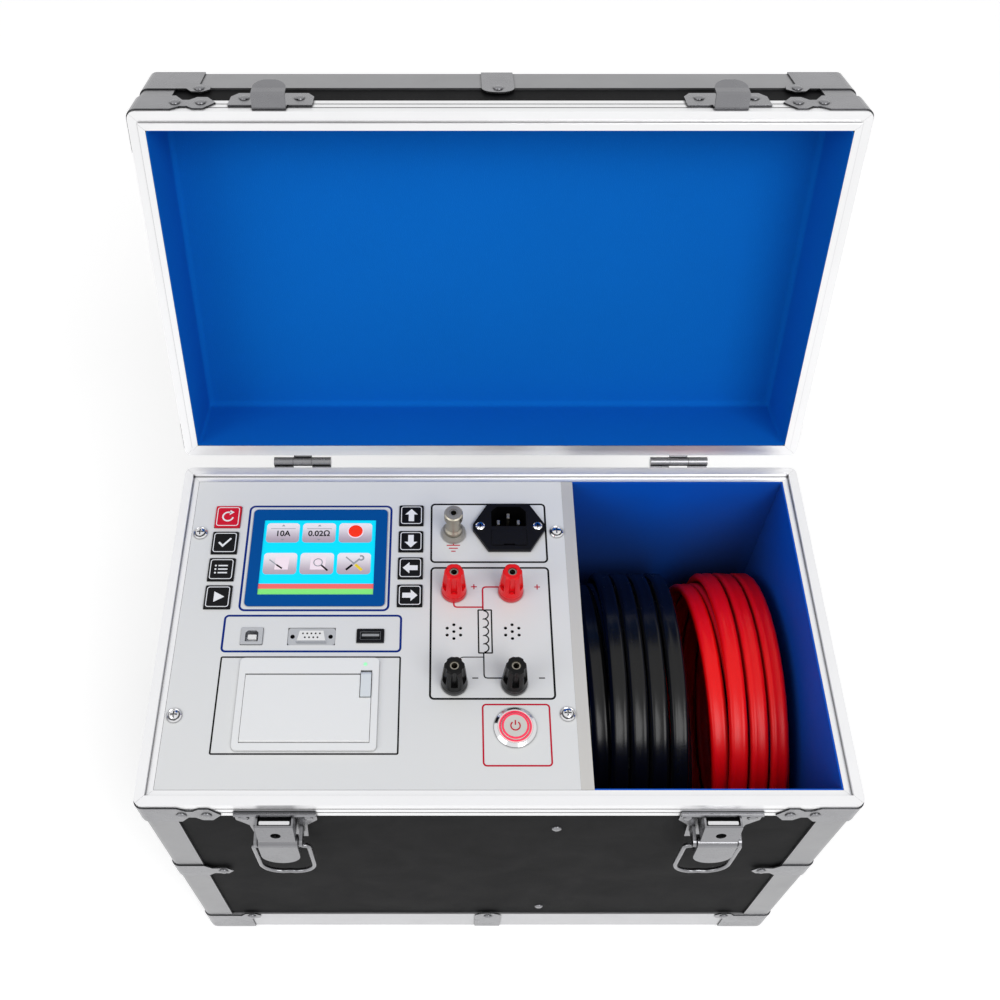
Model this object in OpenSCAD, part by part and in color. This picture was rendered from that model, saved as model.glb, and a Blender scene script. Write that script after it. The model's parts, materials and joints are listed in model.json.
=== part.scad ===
// Ground continuity tester built into an aluminium edged carrying case, lid open.
// Millimetres, Z up. The origin is on the floor, under the middle of the case.

/* [Case] */
// Width of the case over its rim
case_w = 440; // [430:2:500]
// Depth of the case over its rim
case_d = 250; // [250:2:290]
// Height of the base from its underside to the rim
base_h = 277; // [270:1:320]
// Height of the lid above the rim
lid_h = 68; // [66:1:90]
// Angle between the open lid and the closed lid
lid_open = 107.2; // [95:0.1:112]
// Thickness of the wall boards
board_t = 7; // [6:0.5:7.5]
// Height of the rubber feet under the case
foot_h = 4; // [3:0.5:8]
// Depth from the closed rim to the padding in the lid
lid_cavity = 50; // [48:0.5:51]

/* [Aluminium trim] */
// Distance of the boards behind the face of the rim
skin_inset = 2; // [1.8:0.1:2.4]
// Thickness of the edge trim
trim_t = 1.5; // [1:0.1:1.5]
// Outer corner radius of the case in plan
corner_r = 5; // [4:0.5:7]
// Height of the skirt of the base rim
skirt_h = 18; // [16:0.5:20]
// Width of the rim in plan
rim_w = 10.5; // [10.3:0.1:11]
// Width of the outer lip of the rim
lip_w = 6.2; // [5:0.1:7]
// Drop from the lip to the inner ledge
rim_step = 3; // [2.6:0.1:4]
// Height of the edging round the underside of the case
edging_h = 32; // [26:1:36]
// Height of the edging round the top of the lid
lid_edging_h = 26; // [24:1:30]
// Width of each leg of the vertical corner angles
angle_leg = 22; // [18:1:24]
// Thickness of the pressed corner brackets
bracket_t = 0.9; // [0.6:0.1:1.2]

/* [Compartment] */
// Width of the instrument panel
panel_w = 259.4; // [259.4:0.2:266]
// Thickness of the divider board
divider_t = 6; // [5:0.5:7]
// Thickness of the blue lining boards
liner_t = 2.5; // [2.3:0.1:3]

/* [Instrument panel] */
// Thickness of the panel plate
panel_t = 2; // [1.5:0.1:2.5]
// Size of the keys beside the left edge
left_key = 17.6; // [15:0.2:18]
// Size of the keys beside the screen
right_key = 16.6; // [15:0.2:18]
// Distance between neighbouring keys
key_pitch = 21.5; // [21:0.1:22.5]
// Visible width and depth of the screen
screen_size = [78, 60];
// Outside width and depth of the screen bezel
bezel_size = [94, 77.4];
// Outside width and depth of the printer bezel
printer_size = [89.8, 63];
// Length of the printer door from its hinge edge
door_l = 45.8; // [42:0.2:46.4]
// Depth of the printer's paper bay
bay_depth = 44; // [40:1:55]
// Diameter of the collar of each terminal post
post_d = 17; // [14:0.5:18]
// Height of the cap of each terminal post
post_cap_h = 22.7; // [18:0.1:24]
// Bore of the terminal sockets
socket_d = 4; // [3.8:0.1:4.2]
// Diameter of the bezel of the power switch
switch_d = 26.6; // [25:0.1:29]
// Diameter of the moving power button
button_d = 18; // [16:0.2:18.4]

/* [Latches and handles] */
// Distance of the latches from the middle of the case
latch_x = 136; // [110:1:150]
// Distance of the hinges from the middle of the case
hinge_x = 136; // [100:1:160]
// Length of the wire bail of a latch
bail_l = 54; // [53:0.5:55]
// Diameter of the bail wire
bail_d = 3; // [2.5:0.1:3.2]
// Radius of the hinge barrels
barrel_r = 3.25; // [2.8:0.05:3.6]
// Length of the grip of a side handle
grip_l = 96; // [84:1:120]
// Diameter of the grip of a side handle
grip_d = 18; // [15:0.5:18.5]

/* [Test leads] */
// Width of the flat twin cable
cable_w = 12.5; // [11.5:0.1:12.5]
// Thickness of the flat twin cable
cable_t = 6.5; // [5.5:0.1:6.5]
// Turns in each layer of the black lead
black_turns = 4.5; // [2.5:1:4.5]
// Turns in each layer of the red lead
red_turns = 3.5; // [2.5:1:3.5]

/* [Hidden] */
$fn = 48;
facets = 32;
overrun = 1;
seam = 0.1;
hairline = 0.05;
fit_gap = 0.06;
air = 0.3;

// Levels of the case
z_case = foot_h;
z_floor = z_case + trim_t + board_t;
z_rim = z_case + base_h;
z_ledge = z_rim - rim_step;
z_panel = z_ledge;
z_under = z_panel - panel_t;
channel_d = 7;
leg_d = 8;
trim_u = skin_inset - trim_t;
board_u = skin_inset + board_t;
liner_u = board_u + liner_t;
hinge_out = 5.25;
hinge_y = case_d / 2 + hinge_out;
lid_gap = 0.3;

// Plan of the panel and the compartment
panel_x0 = -case_w / 2 + rim_w + 2 * seam;
panel_x1 = panel_x0 + panel_w;
panel_y1 = case_d / 2 - rim_w - 2 * seam;
panel_mid = (panel_x0 + panel_x1) / 2;
cap_t = 1;
cap_skirt = 12;
divider_x0 = panel_x1 + seam + cap_t;
divider_x1 = divider_x0 + divider_t;
side_liner_t = 1.2;
hold_x0 = divider_x1 + side_liner_t + hairline;
hold_x1 = case_w / 2 - liner_u;
hold_y1 = case_d / 2 - liner_u;
floor_liner_t = 2;
hold_z0 = z_floor + floor_liner_t;

// Places on the panel, from the middle of the panel
left_key_at = [-105.7, 51.5];
right_key_at = [23.1, 52.6];
screen_at = [-40.6, 51.2];
printer_at = [-40.5, -58.2];
usb_b_at = [-80.1, -10];
serial_at = [-40.9, -10];
usb_a_at = [-2.2, -9.8];
earth_at = [52.6, 70.3];
inlet_at = [91.2, 74.3];
v_plus_at = [52.8, 23.7];
i_plus_at = [91.1, 23.7];
v_minus_at = [52.9, -44];
i_minus_at = [91.4, -44];
switch_at = [91, -74.1];
vent_at = [[52.7, -6.4], [91.2, -6.4]];
screw_at = [[-123.6, 70.5], [-123.6, -66], [124.4, 71.5], [124.4, -65]];
post_places = [v_plus_at, i_plus_at, v_minus_at, i_minus_at];

// Details of the panel
board_drop = 20;
board_plate_t = 1.6;
key_rise = 1.2;
key_lip = 1;
key_lip_t = 0.8;
key_gap = 0.3;
key_stem = 4;
key_travel = 0.6;
switch_block = 6;
switch_block_h = 4.4;
vent_hole_d = 2.2;
vent_ring_r = 5.1;
screw_r = 1.9;
screw_head_r = 3.3;
screw_head_h = 2.4;
washer_r = 5;
washer_h = 1.6;
rail_w = 12;
rail_h = 20;
bezel_t = 0.8;
bezel_round = 3;

// Printer
pr_rim_h = 2.4;
pr_wall = 2;
pr_body = [printer_size[0] - 5.8, printer_size[1] - 5];
pr_door_w = 80.8;
door_t = 2.6;
door_axis = [-24.5 + door_t / 2 - 1.9, door_t / 2];
door_pin_r = 0.7;
door_pin_l = 4;
lever_w = 6.6;
lever_l = 15;
lever_r = 3;
lever_pin_r = 1;
roller_r = 4;
roll_r = 14;
roll_l = 57.5;
roll_core_r = 6;

// Terminals, inlet and switch
stud_r = 3;
stud_top = 26;
stud_below = 15;
socket_depth = 20;
collar_h = 4;
nut_h = 3;
nut_r = 5.4;
washer_below = 2;
flute_r = 2.2;
flute_count = 6;
cap_top_r = 6.4;
flange_t = 3;
inlet_half = [25, 19];
inlet_top_half = 14.5;
inlet_screw = 20;
inlet_body = [29, 33, 26];
inlet_mouth = [24.5, 16.5];
mouth_drop = 16;
mouth_off = 8.4;
drawer_size = [24, 12];
drawer_off = -9.4;
drawer_depth = 20;
fuse_d = 5;
fuse_l = 20;
pin_size = [2, 4];
switch_r = 10.9;
switch_depth = 28;
switch_rise = 2.5;

// Latch, measured outwards from the rim face and down from the rim
lever_axis = [9.5, -37.5];
bail_axis = [8.5, -48.5];
latch_half = 25;
latch_t = 1.2;
latch_top = -12;
latch_low = -53;
house_half = 11.5;
hub_r = 4.2;
lever_half = 12.2;
tongue_l = 27.5;
ear_in = 13;
ear_out = 15;
ear_r = 3.4;
latch_pin_r = 1.5;
bail_half = 17.5;

// Handles
handle_z = 186;
handle_out = 10.7;
handle_drop = 38;
handle_rod_r = 3.5;
handle_plate_t = 1.5;
handle_leg = grip_l / 2 + 5;
handle_eye_l = 12;
handle_eye_r = 6.5;

// Rivets
rivet_r = 3.2;
rivet_h = 1.5;

// Test leads
lead_pitch = cable_w + 1.1;
layer_step = cable_t + 1.15;
coil_r = hold_y1 - 3;
coil_z = hold_z0 + air + coil_r;
outer_r = coil_r - cable_t / 2;
inner_r = outer_r - layer_step;
black_x = hold_x0 + 10.6;
red_x = hold_x1 - 58.6;
rings = 24;

// Points of a rectangle with rounded corners, about the origin
function rounded(w, d, r, steps = 5) =
    r <= 0 ? [[-w / 2, -d / 2], [w / 2, -d / 2], [w / 2, d / 2], [-w / 2, d / 2]]
    : [for (q = [0:3], i = [0:steps])
        let (a = 90 * q + 90 * i / steps, sx = (q == 0 || q == 3) ? 1 : -1, sy = q < 2 ? 1 : -1)
        [sx * (w / 2 - r) + r * cos(a), sy * (d / 2 - r) + r * sin(a)]];

// A plan outline at depth u behind the face of the rim
function plan_at(u, square_corner = false) =
    rounded(case_w - 2 * u, case_d - 2 * u, square_corner ? 0 : max(corner_r - u, 0));

module slab(points, z0, z1) translate([0, 0, z0]) linear_extrude(z1 - z0) polygon(points);

module box(low, high) translate(low) cube(high - low);

// A solid ring between two depths behind the rim face
module ring(u0, u1, z0, z1) difference() {
    slab(plan_at(u0), z0, z1);
    slab(plan_at(u1), z0 - overrun, z1 + overrun);
}

// A drawing in X and Z, drawn out between two Y places
module along_y(y0, y1) translate([0, y1, 0]) rotate([90, 0, 0]) linear_extrude(y1 - y0) children();

// A drawing in Y and Z, drawn out between two X places
module along_x(x0, x1) translate([x0, 0, 0]) rotate([90, 0, 90]) linear_extrude(x1 - x0) children();

// One of the four mitred quarters of the plan
module quarter(side, z0, z1) {
    reach = case_d / 2;
    w = case_w / 2 + overrun;
    d = case_d / 2 + overrun;
    m = seam / 2;
    if (side < 2) mirror([0, side, 0])
        slab([[-w + m, -d], [w - m, -d], [w - m - reach, -d + reach], [-w + m + reach, -d + reach]], z0, z1);
    else mirror([side - 2, 0, 0])
        slab([[-w, -d + m], [-w + reach, -d + reach + m], [-w + reach, d - reach - m], [-w, d - m]], z0, z1);
}

// Cuts a closed ring into its four mitred lengths
module mitred(z0, z1) for (side = [0:3]) intersection() {
    children();
    quarter(side, z0 - overrun, z1 + overrun);
}

module at_corners() for (sx = [0, 1], sy = [0, 1]) mirror([sx, 0, 0]) mirror([0, sy, 0]) children();

module both_sides() for (sx = [0, 1]) mirror([sx, 0, 0]) children();

// Places the closed lid in its open position
module opened() translate([0, hinge_y, z_rim]) rotate([-lid_open, 0, 0]) translate([0, -hinge_y, 0]) children();

module on_panel(at) translate([panel_mid + at[0], at[1], z_panel]) children();

// Boards of the walls
module wall_boards(z0, z1) {
    y_in = case_d / 2 - board_u;
    for (sy = [0, 1]) mirror([0, sy, 0]) intersection() {
        slab(plan_at(skin_inset), z0, z1);
        box([-case_w / 2, -case_d / 2, z0 - overrun], [case_w / 2, -y_in, z1 + overrun]);
    }
    both_sides() box([case_w / 2 - board_u, -y_in + seam, z0], [case_w / 2 - skin_inset, y_in - seam, z1]);
}

module case_walls() color([0.09, 0.09, 0.09]) difference() {
    wall_boards(z_case + trim_t, z_rim - channel_d);
}

module case_floor() color([0.55, 0.45, 0.33])
    slab(rounded(case_w - 2 * board_u - 2 * seam, case_d - 2 * board_u - 2 * seam, 0), z_case + trim_t, z_floor);

// Rim extrusion of the base with its channel, ledge and two grooves
groove_w = 1.2;
groove_d = 0.5;
groove_drop_share = [0.36, 0.7];
module base_rim() color([0.83, 0.84, 0.86]) mitred(z_rim - skirt_h, z_rim) difference() {
    ring(0, rim_w, z_rim - skirt_h, z_rim);
    ring(lip_w, rim_w + overrun, z_ledge, z_rim + overrun);
    ring(skin_inset, board_u, z_rim - skirt_h - overrun, z_rim - channel_d);
    ring(board_u - overrun, rim_w + overrun, z_rim - skirt_h - overrun, z_rim - leg_d);
    for (share = groove_drop_share)
        ring(-overrun, groove_d, z_rim - skirt_h * share - groove_w / 2, z_rim - skirt_h * share + groove_w / 2);
}

// Vertical angles at the four corners
module corner_angles(z0, z1) at_corners() intersection() {
    ring(trim_u, skin_inset, z0, z1);
    box([case_w / 2 - angle_leg, case_d / 2 - angle_leg, z0 - overrun], [case_w / 2 + overrun, case_d / 2 + overrun, z1 + overrun]);
}

module base_edging() color([0.78, 0.79, 0.8]) {
    mitred(z_case, z_case + edging_h) union() {
        ring(trim_u, skin_inset, z_case, z_case + edging_h);
        ring(trim_u, edging_h, z_case, z_case + trim_t);
    }
    corner_angles(z_case + edging_h + seam, z_rim - skirt_h - seam);
}

// Outlines of the pressed brackets, as shares of their reach and height
rim_bracket_shares = [[-0.1, 0], [0.5, 0], [0.6, 0.2], [0.68, 0.2], [0.76, 0.04], [0.88, 0.04], [1, 0.48],
    [0.88, 0.88], [0.76, 0.88], [0.68, 0.66], [0.6, 0.66], [0.5, 1], [-0.1, 1]];
strap_shares = [[-0.1, 0], [0.54, 0], [0.66, 0.26], [0.9, 0.24], [1, 0.5], [0.9, 0.76], [0.66, 0.74], [0.54, 1], [-0.1, 1]];
foot_bracket_shares = [[-0.1, 0], [0.82, 0], [0.82, 0.62], [0.98, 0.72], [1, 0.88], [0.9, 1], [0.74, 0.98], [0.66, 0.84], [-0.1, 0.84]];
rim_bracket_size = [51, 22];
strap_size = [41, 21.5];
foot_bracket_size = [44, 36];

function scaled(shares, size, flip) =
    [for (p = shares) [p[0] * size[0], (flip ? -1 : 1) * p[1] * size[1]]];

// A pressed bracket round the corner on the right and at the back; z is its straight end
module corner_bracket(shares, size, z, flip, u) {
    points = scaled(shares, size, flip);
    band = 2 * corner_r;
    z0 = z - (flip ? size[1] : 0);
    intersection() {
        ring(u - bracket_t, u, z0, z0 + size[1]);
        union() {
            along_y(case_d / 2 - band, case_d / 2 + band) polygon([for (p = points) [case_w / 2 - p[0], z + p[1]]]);
            along_x(case_w / 2 - band, case_w / 2 + band) polygon([for (p = points) [case_d / 2 - p[0], z + p[1]]]);
        }
    }
}

// The flat third face of a bracket at a three way corner
module corner_plate(size, z) intersection() {
    slab(plan_at(trim_u - bracket_t), z, z + bracket_t);
    translate([case_w / 2, case_d / 2, 0]) slab([[-size, overrun], [-size, -size * 0.6], [-size * 0.6, -size], [overrun, -size], [overrun, overrun]], z - overrun, z + bracket_t + overrun);
}

module rivet() rotate_extrude($fn = 20)
    polygon([[0, hairline], [rivet_r, hairline], [rivet_r * 0.92, rivet_h * 0.45], [rivet_r * 0.6, rivet_h * 0.85], [0, rivet_h]]);

// Rivets on both faces of the corner on the right and at the back
module corner_rivets(reaches, z, u) for (s = reaches) {
    translate([case_w / 2 - s, case_d / 2 - u, z]) rotate([-90, 0, 0]) rivet();
    translate([case_w / 2 - u, case_d / 2 - s, z]) rotate([0, 90, 0]) rivet();
}

rim_rivet_shares = [0.53, 0.83];
strap_rivet_share = 0.83;
foot_rivet_share = [0.84, 0.84];
bracket_drop = 4.4;

// The clip at the middle of the long edging, on the front
clip_half = 10;
clip_h = 36;
module centre_clip(z, up) {
    points = [for (i = [0:12]) [clip_half * cos(180 * i / 12), z + up * (clip_h - clip_half * 0.7 * (1 - sin(180 * i / 12)))]];
    along_y(-case_d / 2 + trim_u - bracket_t, -case_d / 2 + trim_u)
        polygon(concat([[-clip_half, z], [clip_half, z]], points));
}

strap_share = 0.53;
divider_rivet_at = [[-13, 229], [-13, 49]];
module base_brackets() color([0.7, 0.7, 0.72]) {
    strap_z = z_case + base_h * strap_share - strap_size[1] / 2;
    at_corners() {
        corner_bracket(rim_bracket_shares, rim_bracket_size, z_rim - bracket_drop, true, 0);
        corner_rivets([for (s = rim_rivet_shares) s * rim_bracket_size[0]], z_rim - bracket_drop - rim_bracket_size[1] * 0.46, -bracket_t);
        corner_bracket(strap_shares, strap_size, strap_z, false, trim_u);
        corner_rivets([strap_rivet_share * strap_size[0]], strap_z + strap_size[1] / 2, trim_u - bracket_t);
        union() {
            corner_bracket(foot_bracket_shares, foot_bracket_size, z_case - bracket_t, false, trim_u);
            corner_plate(foot_bracket_size[0] * 0.82, z_case - bracket_t);
        }
        corner_rivets([foot_rivet_share[0] * foot_bracket_size[0]], z_case - bracket_t + foot_rivet_share[1] * foot_bracket_size[1], trim_u - bracket_t);
    }
    centre_clip(z_case, 1);
    translate([0, -case_d / 2 + trim_u - bracket_t, z_case + clip_h - clip_half * 0.7]) rotate([90, 0, 0]) rivet();
    for (at = divider_rivet_at)
        translate([divider_x0 + at[0], -case_d / 2 + skin_inset, z_case + at[1]]) rotate([90, 0, 0]) rivet();
}

foot_r = 11;
foot_in = edging_h + foot_r + 2;
foot_taper = 1;
module rubber_feet() color([0.1, 0.1, 0.1]) at_corners()
    translate([case_w / 2 - foot_in, case_d / 2 - foot_in, 0])
        cylinder(r1 = foot_r - foot_taper, r2 = foot_r, h = z_case + trim_t);

// Divider board with its aluminium cap
module divider() {
    y_wall = case_d / 2 - board_u - hairline;
    y_leg = panel_y1;
    z_low = z_rim - leg_d - seam;
    z_top = z_ledge - cap_t - hairline;
    color([0.3, 0.3, 0.32]) along_x(divider_x0, divider_x1) polygon([
        [-y_wall, z_floor], [y_wall, z_floor], [y_wall, z_low], [y_leg, z_low], [y_leg, z_top],
        [-y_leg, z_top], [-y_leg, z_low], [-y_wall, z_low]
    ]);
    color([0.8, 0.81, 0.83]) difference() {
        box([divider_x0 - cap_t - hairline, -y_leg, z_ledge - cap_skirt], [divider_x1 + cap_t + hairline, y_leg, z_ledge]);
        box([divider_x0 - hairline, -y_leg - overrun, z_ledge - cap_skirt - overrun], [divider_x1 + hairline, y_leg + overrun, z_ledge - cap_t]);
    }
}

// Side view of a lining board behind the leg of a rim; up is 1 for the base
function liner_points(z_far, z_edge, z_leg) = [
    [board_u + hairline, z_far], [liner_u, z_far], [liner_u, z_edge],
    [rim_w + seam, z_edge], [rim_w + seam, z_leg], [board_u + hairline, z_leg]
];

module compartment_liner() color([0.03, 0.2, 0.6]) {
    z_edge = z_ledge - 2 * seam;
    z_leg = z_rim - leg_d - 2 * seam;
    points = liner_points(hold_z0 + hairline, z_edge, z_leg);
    for (sy = [0, 1]) mirror([0, sy, 0]) along_x(divider_x1 + cap_t + seam, hold_x1 - hairline)
        polygon([for (p = points) [p[0] - case_d / 2, p[1]]]);
    along_y(-panel_y1, panel_y1) polygon([for (p = points) [case_w / 2 - p[0], p[1]]]);
    box([divider_x1 + hairline, -hold_y1 + hairline, hold_z0 + hairline],
        [hold_x0 - hairline, hold_y1 - hairline, z_ledge - cap_skirt - seam]);
    box([hold_x0, -hold_y1, z_floor], [hold_x1 - hairline, hold_y1, hold_z0]);
}

// Hinges: the middle knuckle turns with the lid
hinge_half = 25.5;
barrel_half = 20.5;
knuckle_half = 6.5;
knuckle_gap = 0.3;
leaf_t = 1.5;
leaf_top = 4;
leaf_low = 24;
hinge_pin_r = 1.6;
leaf_rivets = [-17, 0, 17];

// One leaf, its side view drawn outwards and up; up is -1 for the base leaf
module hinge_leaf(up, spans, bore_r) {
    y0 = case_d / 2;
    difference() {
        union() {
            box([-hinge_half, y0, up > 0 ? leaf_top : -leaf_low], [hinge_half, y0 + leaf_t, up > 0 ? leaf_low : -leaf_top]);
            for (span = spans) {
                along_x(span[0], span[1]) polygon([
                    [y0, up * (leaf_top + overrun)], [y0 + leaf_t, up * (leaf_top + leaf_t + overrun)],
                    [y0 + hinge_out + barrel_r * 0.8, up * barrel_r * 0.6], [y0 + hinge_out, 0],
                    [y0 + hinge_out - barrel_r * 0.8, up * barrel_r * 0.6], [y0, up * leaf_top]
                ]);
                translate([span[0], hinge_y, 0]) rotate([0, 90, 0]) cylinder(r = barrel_r, h = span[1] - span[0]);
            }
        }
        translate([-hinge_half, hinge_y, 0]) rotate([0, 90, 0]) cylinder(r = bore_r, h = 2 * hinge_half);
    }
    for (x = leaf_rivets) translate([x, y0 + leaf_t, up * (leaf_low + leaf_top) * 0.6]) rotate([-90, 0, 0]) rivet();
}

module base_hinge_leaves() color([0.72, 0.72, 0.74]) for (sx = [-1, 1]) translate([sx * hinge_x, 0, z_rim]) {
    hinge_leaf(-1, [[-barrel_half, -knuckle_half - knuckle_gap], [knuckle_half + knuckle_gap, barrel_half]], hinge_pin_r + hairline / 2);
    translate([-barrel_half, hinge_y, 0]) rotate([0, 90, 0]) cylinder(r = hinge_pin_r, h = 2 * barrel_half);
}

module lid_hinge_leaves() color([0.72, 0.72, 0.74]) opened() for (sx = [-1, 1]) translate([sx * hinge_x, 0, 0])
    hinge_leaf(1, [[-knuckle_half, knuckle_half]], hinge_pin_r + fit_gap);

// Latch plates: side views are drawn outwards from the rim face, and down from the rim
plate_shares = [[-1, 0], [1, 0], [1, 0.25], [0.72, 0.48], [0.66, 1], [-0.66, 1], [-0.72, 0.48], [-1, 0.25]];
house_points = [[latch_t, -31], [12.2, -31], [9.6, -12.4], [8.2, -12.4], [8.6, -18], [latch_t, -18]];
house_wall = 1.2;
keyhole_r = 3.2;
keyhole_z = -23;

module out_view(x0, x1) along_x(x0, x1) mirror([1, 0]) translate([case_d / 2, z_rim]) children();

module latch_plates() color([0.74, 0.74, 0.76]) for (sx = [-1, 1]) translate([sx * latch_x, 0, 0]) {
    y = -case_d / 2;
    difference() {
        union() {
            along_y(y - latch_t, y) polygon([for (p = plate_shares)
                [p[0] * latch_half, z_rim + latch_top + p[1] * (latch_low - latch_top)]]);
            out_view(-latch_half, latch_half) polygon([[0, latch_top], [0, latch_top + 1.6], [2.4, latch_top + 1.6], [3, latch_top], [2.2, latch_top - 1.6], [0, latch_top - 1.6]]);
            out_view(-house_half, house_half) polygon(house_points);
            both_sides() out_view(house_half - house_wall, house_half) polygon([[latch_t / 2, -12.4], [8.4, -12.4], [8.8, -19], [latch_t / 2, -19]]);
            both_sides() out_view(ear_in, ear_out) {
                translate(lever_axis) circle(r = ear_r);
                polygon([[latch_t / 2, lever_axis[1] - ear_r - 2], [lever_axis[0], lever_axis[1] - ear_r],
                    [lever_axis[0], lever_axis[1] + ear_r], [latch_t / 2, lever_axis[1] + ear_r + 2]]);
            }
        }
        translate([0, y - lever_axis[0] - overrun, z_rim + keyhole_z]) rotate([-90, 0, 0]) translate([0, 0, -2 * overrun]) cylinder(r = keyhole_r, h = 6 + overrun);
        translate([-ear_out - overrun, y - lever_axis[0], z_rim + lever_axis[1]]) rotate([0, 90, 0]) cylinder(r = latch_pin_r + hairline / 2, h = 2 * (ear_out + overrun));
    }
    translate([-ear_out, y - lever_axis[0], z_rim + lever_axis[1]]) rotate([0, 90, 0]) cylinder(r = latch_pin_r, h = 2 * ear_out);
    for (x = [-1, 1]) translate([x * latch_half * 0.78, y - latch_t, z_rim + latch_top - 6.5]) rotate([90, 0, 0]) rivet();
}

// The lever with its tongue and the two cheeks that carry the bail
module latch_lever(x) color([0.74, 0.74, 0.76]) translate([x, 0, 0]) {
    p = lever_axis;
    tongue_t = 1.4;
    difference() {
        union() {
            out_view(-lever_half, lever_half) translate(p) circle(r = hub_r);
            intersection() {
                out_view(-lever_half, lever_half) translate(p)
                    polygon([[hub_r - tongue_t, 0], [hub_r, 0], [hub_r + 1, -tongue_l], [hub_r + 1 - tongue_t, -tongue_l]]);
                along_y(-case_d / 2 - 3 * hub_r - lever_half, -case_d / 2) polygon(concat(
                    [[lever_half, z_rim + p[1] + overrun], [-lever_half, z_rim + p[1] + overrun]],
                    [for (i = [0:12]) [-lever_half * cos(180 * i / 12), z_rim + p[1] - tongue_l + lever_half * (1 - sin(180 * i / 12))]]));
            }
            both_sides() out_view(lever_half - 2, lever_half) translate(p)
                polygon([[-hub_r, 0], [hub_r, 0], [hub_r + 0.4, -15.5], [-1.5, -15.5], [-hub_r, -13]]);
        }
        both_sides() translate([0, -case_d / 2, z_rim]) {
            translate([-overrun, -p[0], p[1]]) rotate([0, 90, 0]) cylinder(r = latch_pin_r + fit_gap, h = lever_half + 2 * overrun);
            translate([lever_half - 2 - overrun, -bail_axis[0], bail_axis[1]]) rotate([0, 90, 0]) cylinder(r = bail_d / 2 + fit_gap, h = 2 + 2 * overrun);
        }
    }
}

// The wire bail, hanging from the lever's cheeks
module latch_bail(x) color([0.78, 0.78, 0.8]) translate([x, -case_d / 2 - bail_axis[0], z_rim + bail_axis[1]]) {
    bend = 8;
    r = bail_d / 2;
    both_sides() {
        translate([lever_half - 1.8, 0, 0]) rotate([0, 90, 0]) cylinder(r = r, h = bail_half - lever_half + 1.8);
        translate([bail_half, 0, 0]) sphere(r = r);
        translate([bail_half, 0, -bail_l + bend]) cylinder(r = r, h = bail_l - bend);
        translate([bail_half - bend, 0, -bail_l + bend]) rotate([90, 0, 0]) intersection() {
            rotate_extrude() translate([bend, 0]) circle(r = r, $fn = 20);
            translate([0, -2 * bend, -bend]) cube([2 * bend, 2 * bend, 2 * bend]);
        }
    }
    translate([-bail_half + bend, 0, -bail_l]) rotate([0, 90, 0]) cylinder(r = r, h = 2 * (bail_half - bend));
}

// Catches on the front of the lid, in the closed position
catch_half = 25;
catch_z = [8, 28];
hook_top = 17.2;
hook_half = 10;
hook_points = [[0, 2.5], [9.2, 2.5], [10, 5], [10.6, 10], [13, hook_top], [11.6, hook_top + 0.3], [9.2, 10], [8.5, 5.4], [8, 4],
    [latch_t, 4], [latch_t, 9], [0, 9]];
module catch_plates() color([0.74, 0.74, 0.76]) opened() for (sx = [-1, 1]) translate([sx * latch_x, 0, 0]) {
    y = -case_d / 2;
    union() {
        along_y(y - latch_t, y) polygon([[-catch_half, catch_z[0]], [catch_half, catch_z[0]], [catch_half, catch_z[1] - 6],
            [catch_half - 4, catch_z[1]], [-catch_half + 4, catch_z[1]], [-catch_half, catch_z[1] - 6]]);
        intersection() {
            along_x(-hook_half, hook_half) mirror([1, 0]) translate([case_d / 2, 0]) polygon(hook_points);
            along_y(y - 2 * hook_half, y + overrun) polygon(concat([[hook_half, 0], [hook_half, hook_top - 7]],
                [for (i = [1:11]) [hook_half * cos(180 * i / 12), hook_top - 7 + 7.4 * sin(180 * i / 12)]],
                [[-hook_half, hook_top - 7], [-hook_half, 0]]));
        }
    }
    for (x = [-1, 1]) translate([x * catch_half * 0.66, y - latch_t, catch_z[0] + 11]) rotate([90, 0, 0]) rivet();
}

// Side handles
module handle_plates() color([0.7, 0.7, 0.72]) both_sides() {
    x0 = case_w / 2 - skin_inset;
    y1 = handle_leg + handle_eye_l + 8;
    difference() {
        union() {
            along_x(x0, x0 + handle_plate_t) translate([0, handle_z]) polygon([
                [-y1, -14], [-y1 + 4, -20], [-handle_leg + 6, -20], [-handle_leg + 14, -10], [handle_leg - 14, -10], [handle_leg - 6, -20],
                [y1 - 4, -20], [y1, -14], [y1, 14], [y1 - 4, 20], [-y1 + 4, 20], [-y1, 14]]);
            for (sy = [0, 1]) mirror([0, sy, 0]) along_y(handle_leg + handle_rod_r + 1, handle_leg + handle_rod_r + 1 + handle_eye_l) {
                translate([x0 + handle_out, handle_z]) circle(r = handle_eye_r);
                translate([x0, handle_z - handle_eye_r]) square([handle_out, 2 * handle_eye_r]);
            }
        }
        translate([x0 + handle_out, y1, handle_z]) rotate([90, 0, 0]) cylinder(r = handle_rod_r + fit_gap, h = 2 * y1);
    }
    for (sy = [-1, 1], sz = [-1, 1]) translate([x0 + handle_plate_t, sy * (y1 - 6), handle_z + sz * 13]) rotate([0, 90, 0]) rivet();
}

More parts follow.
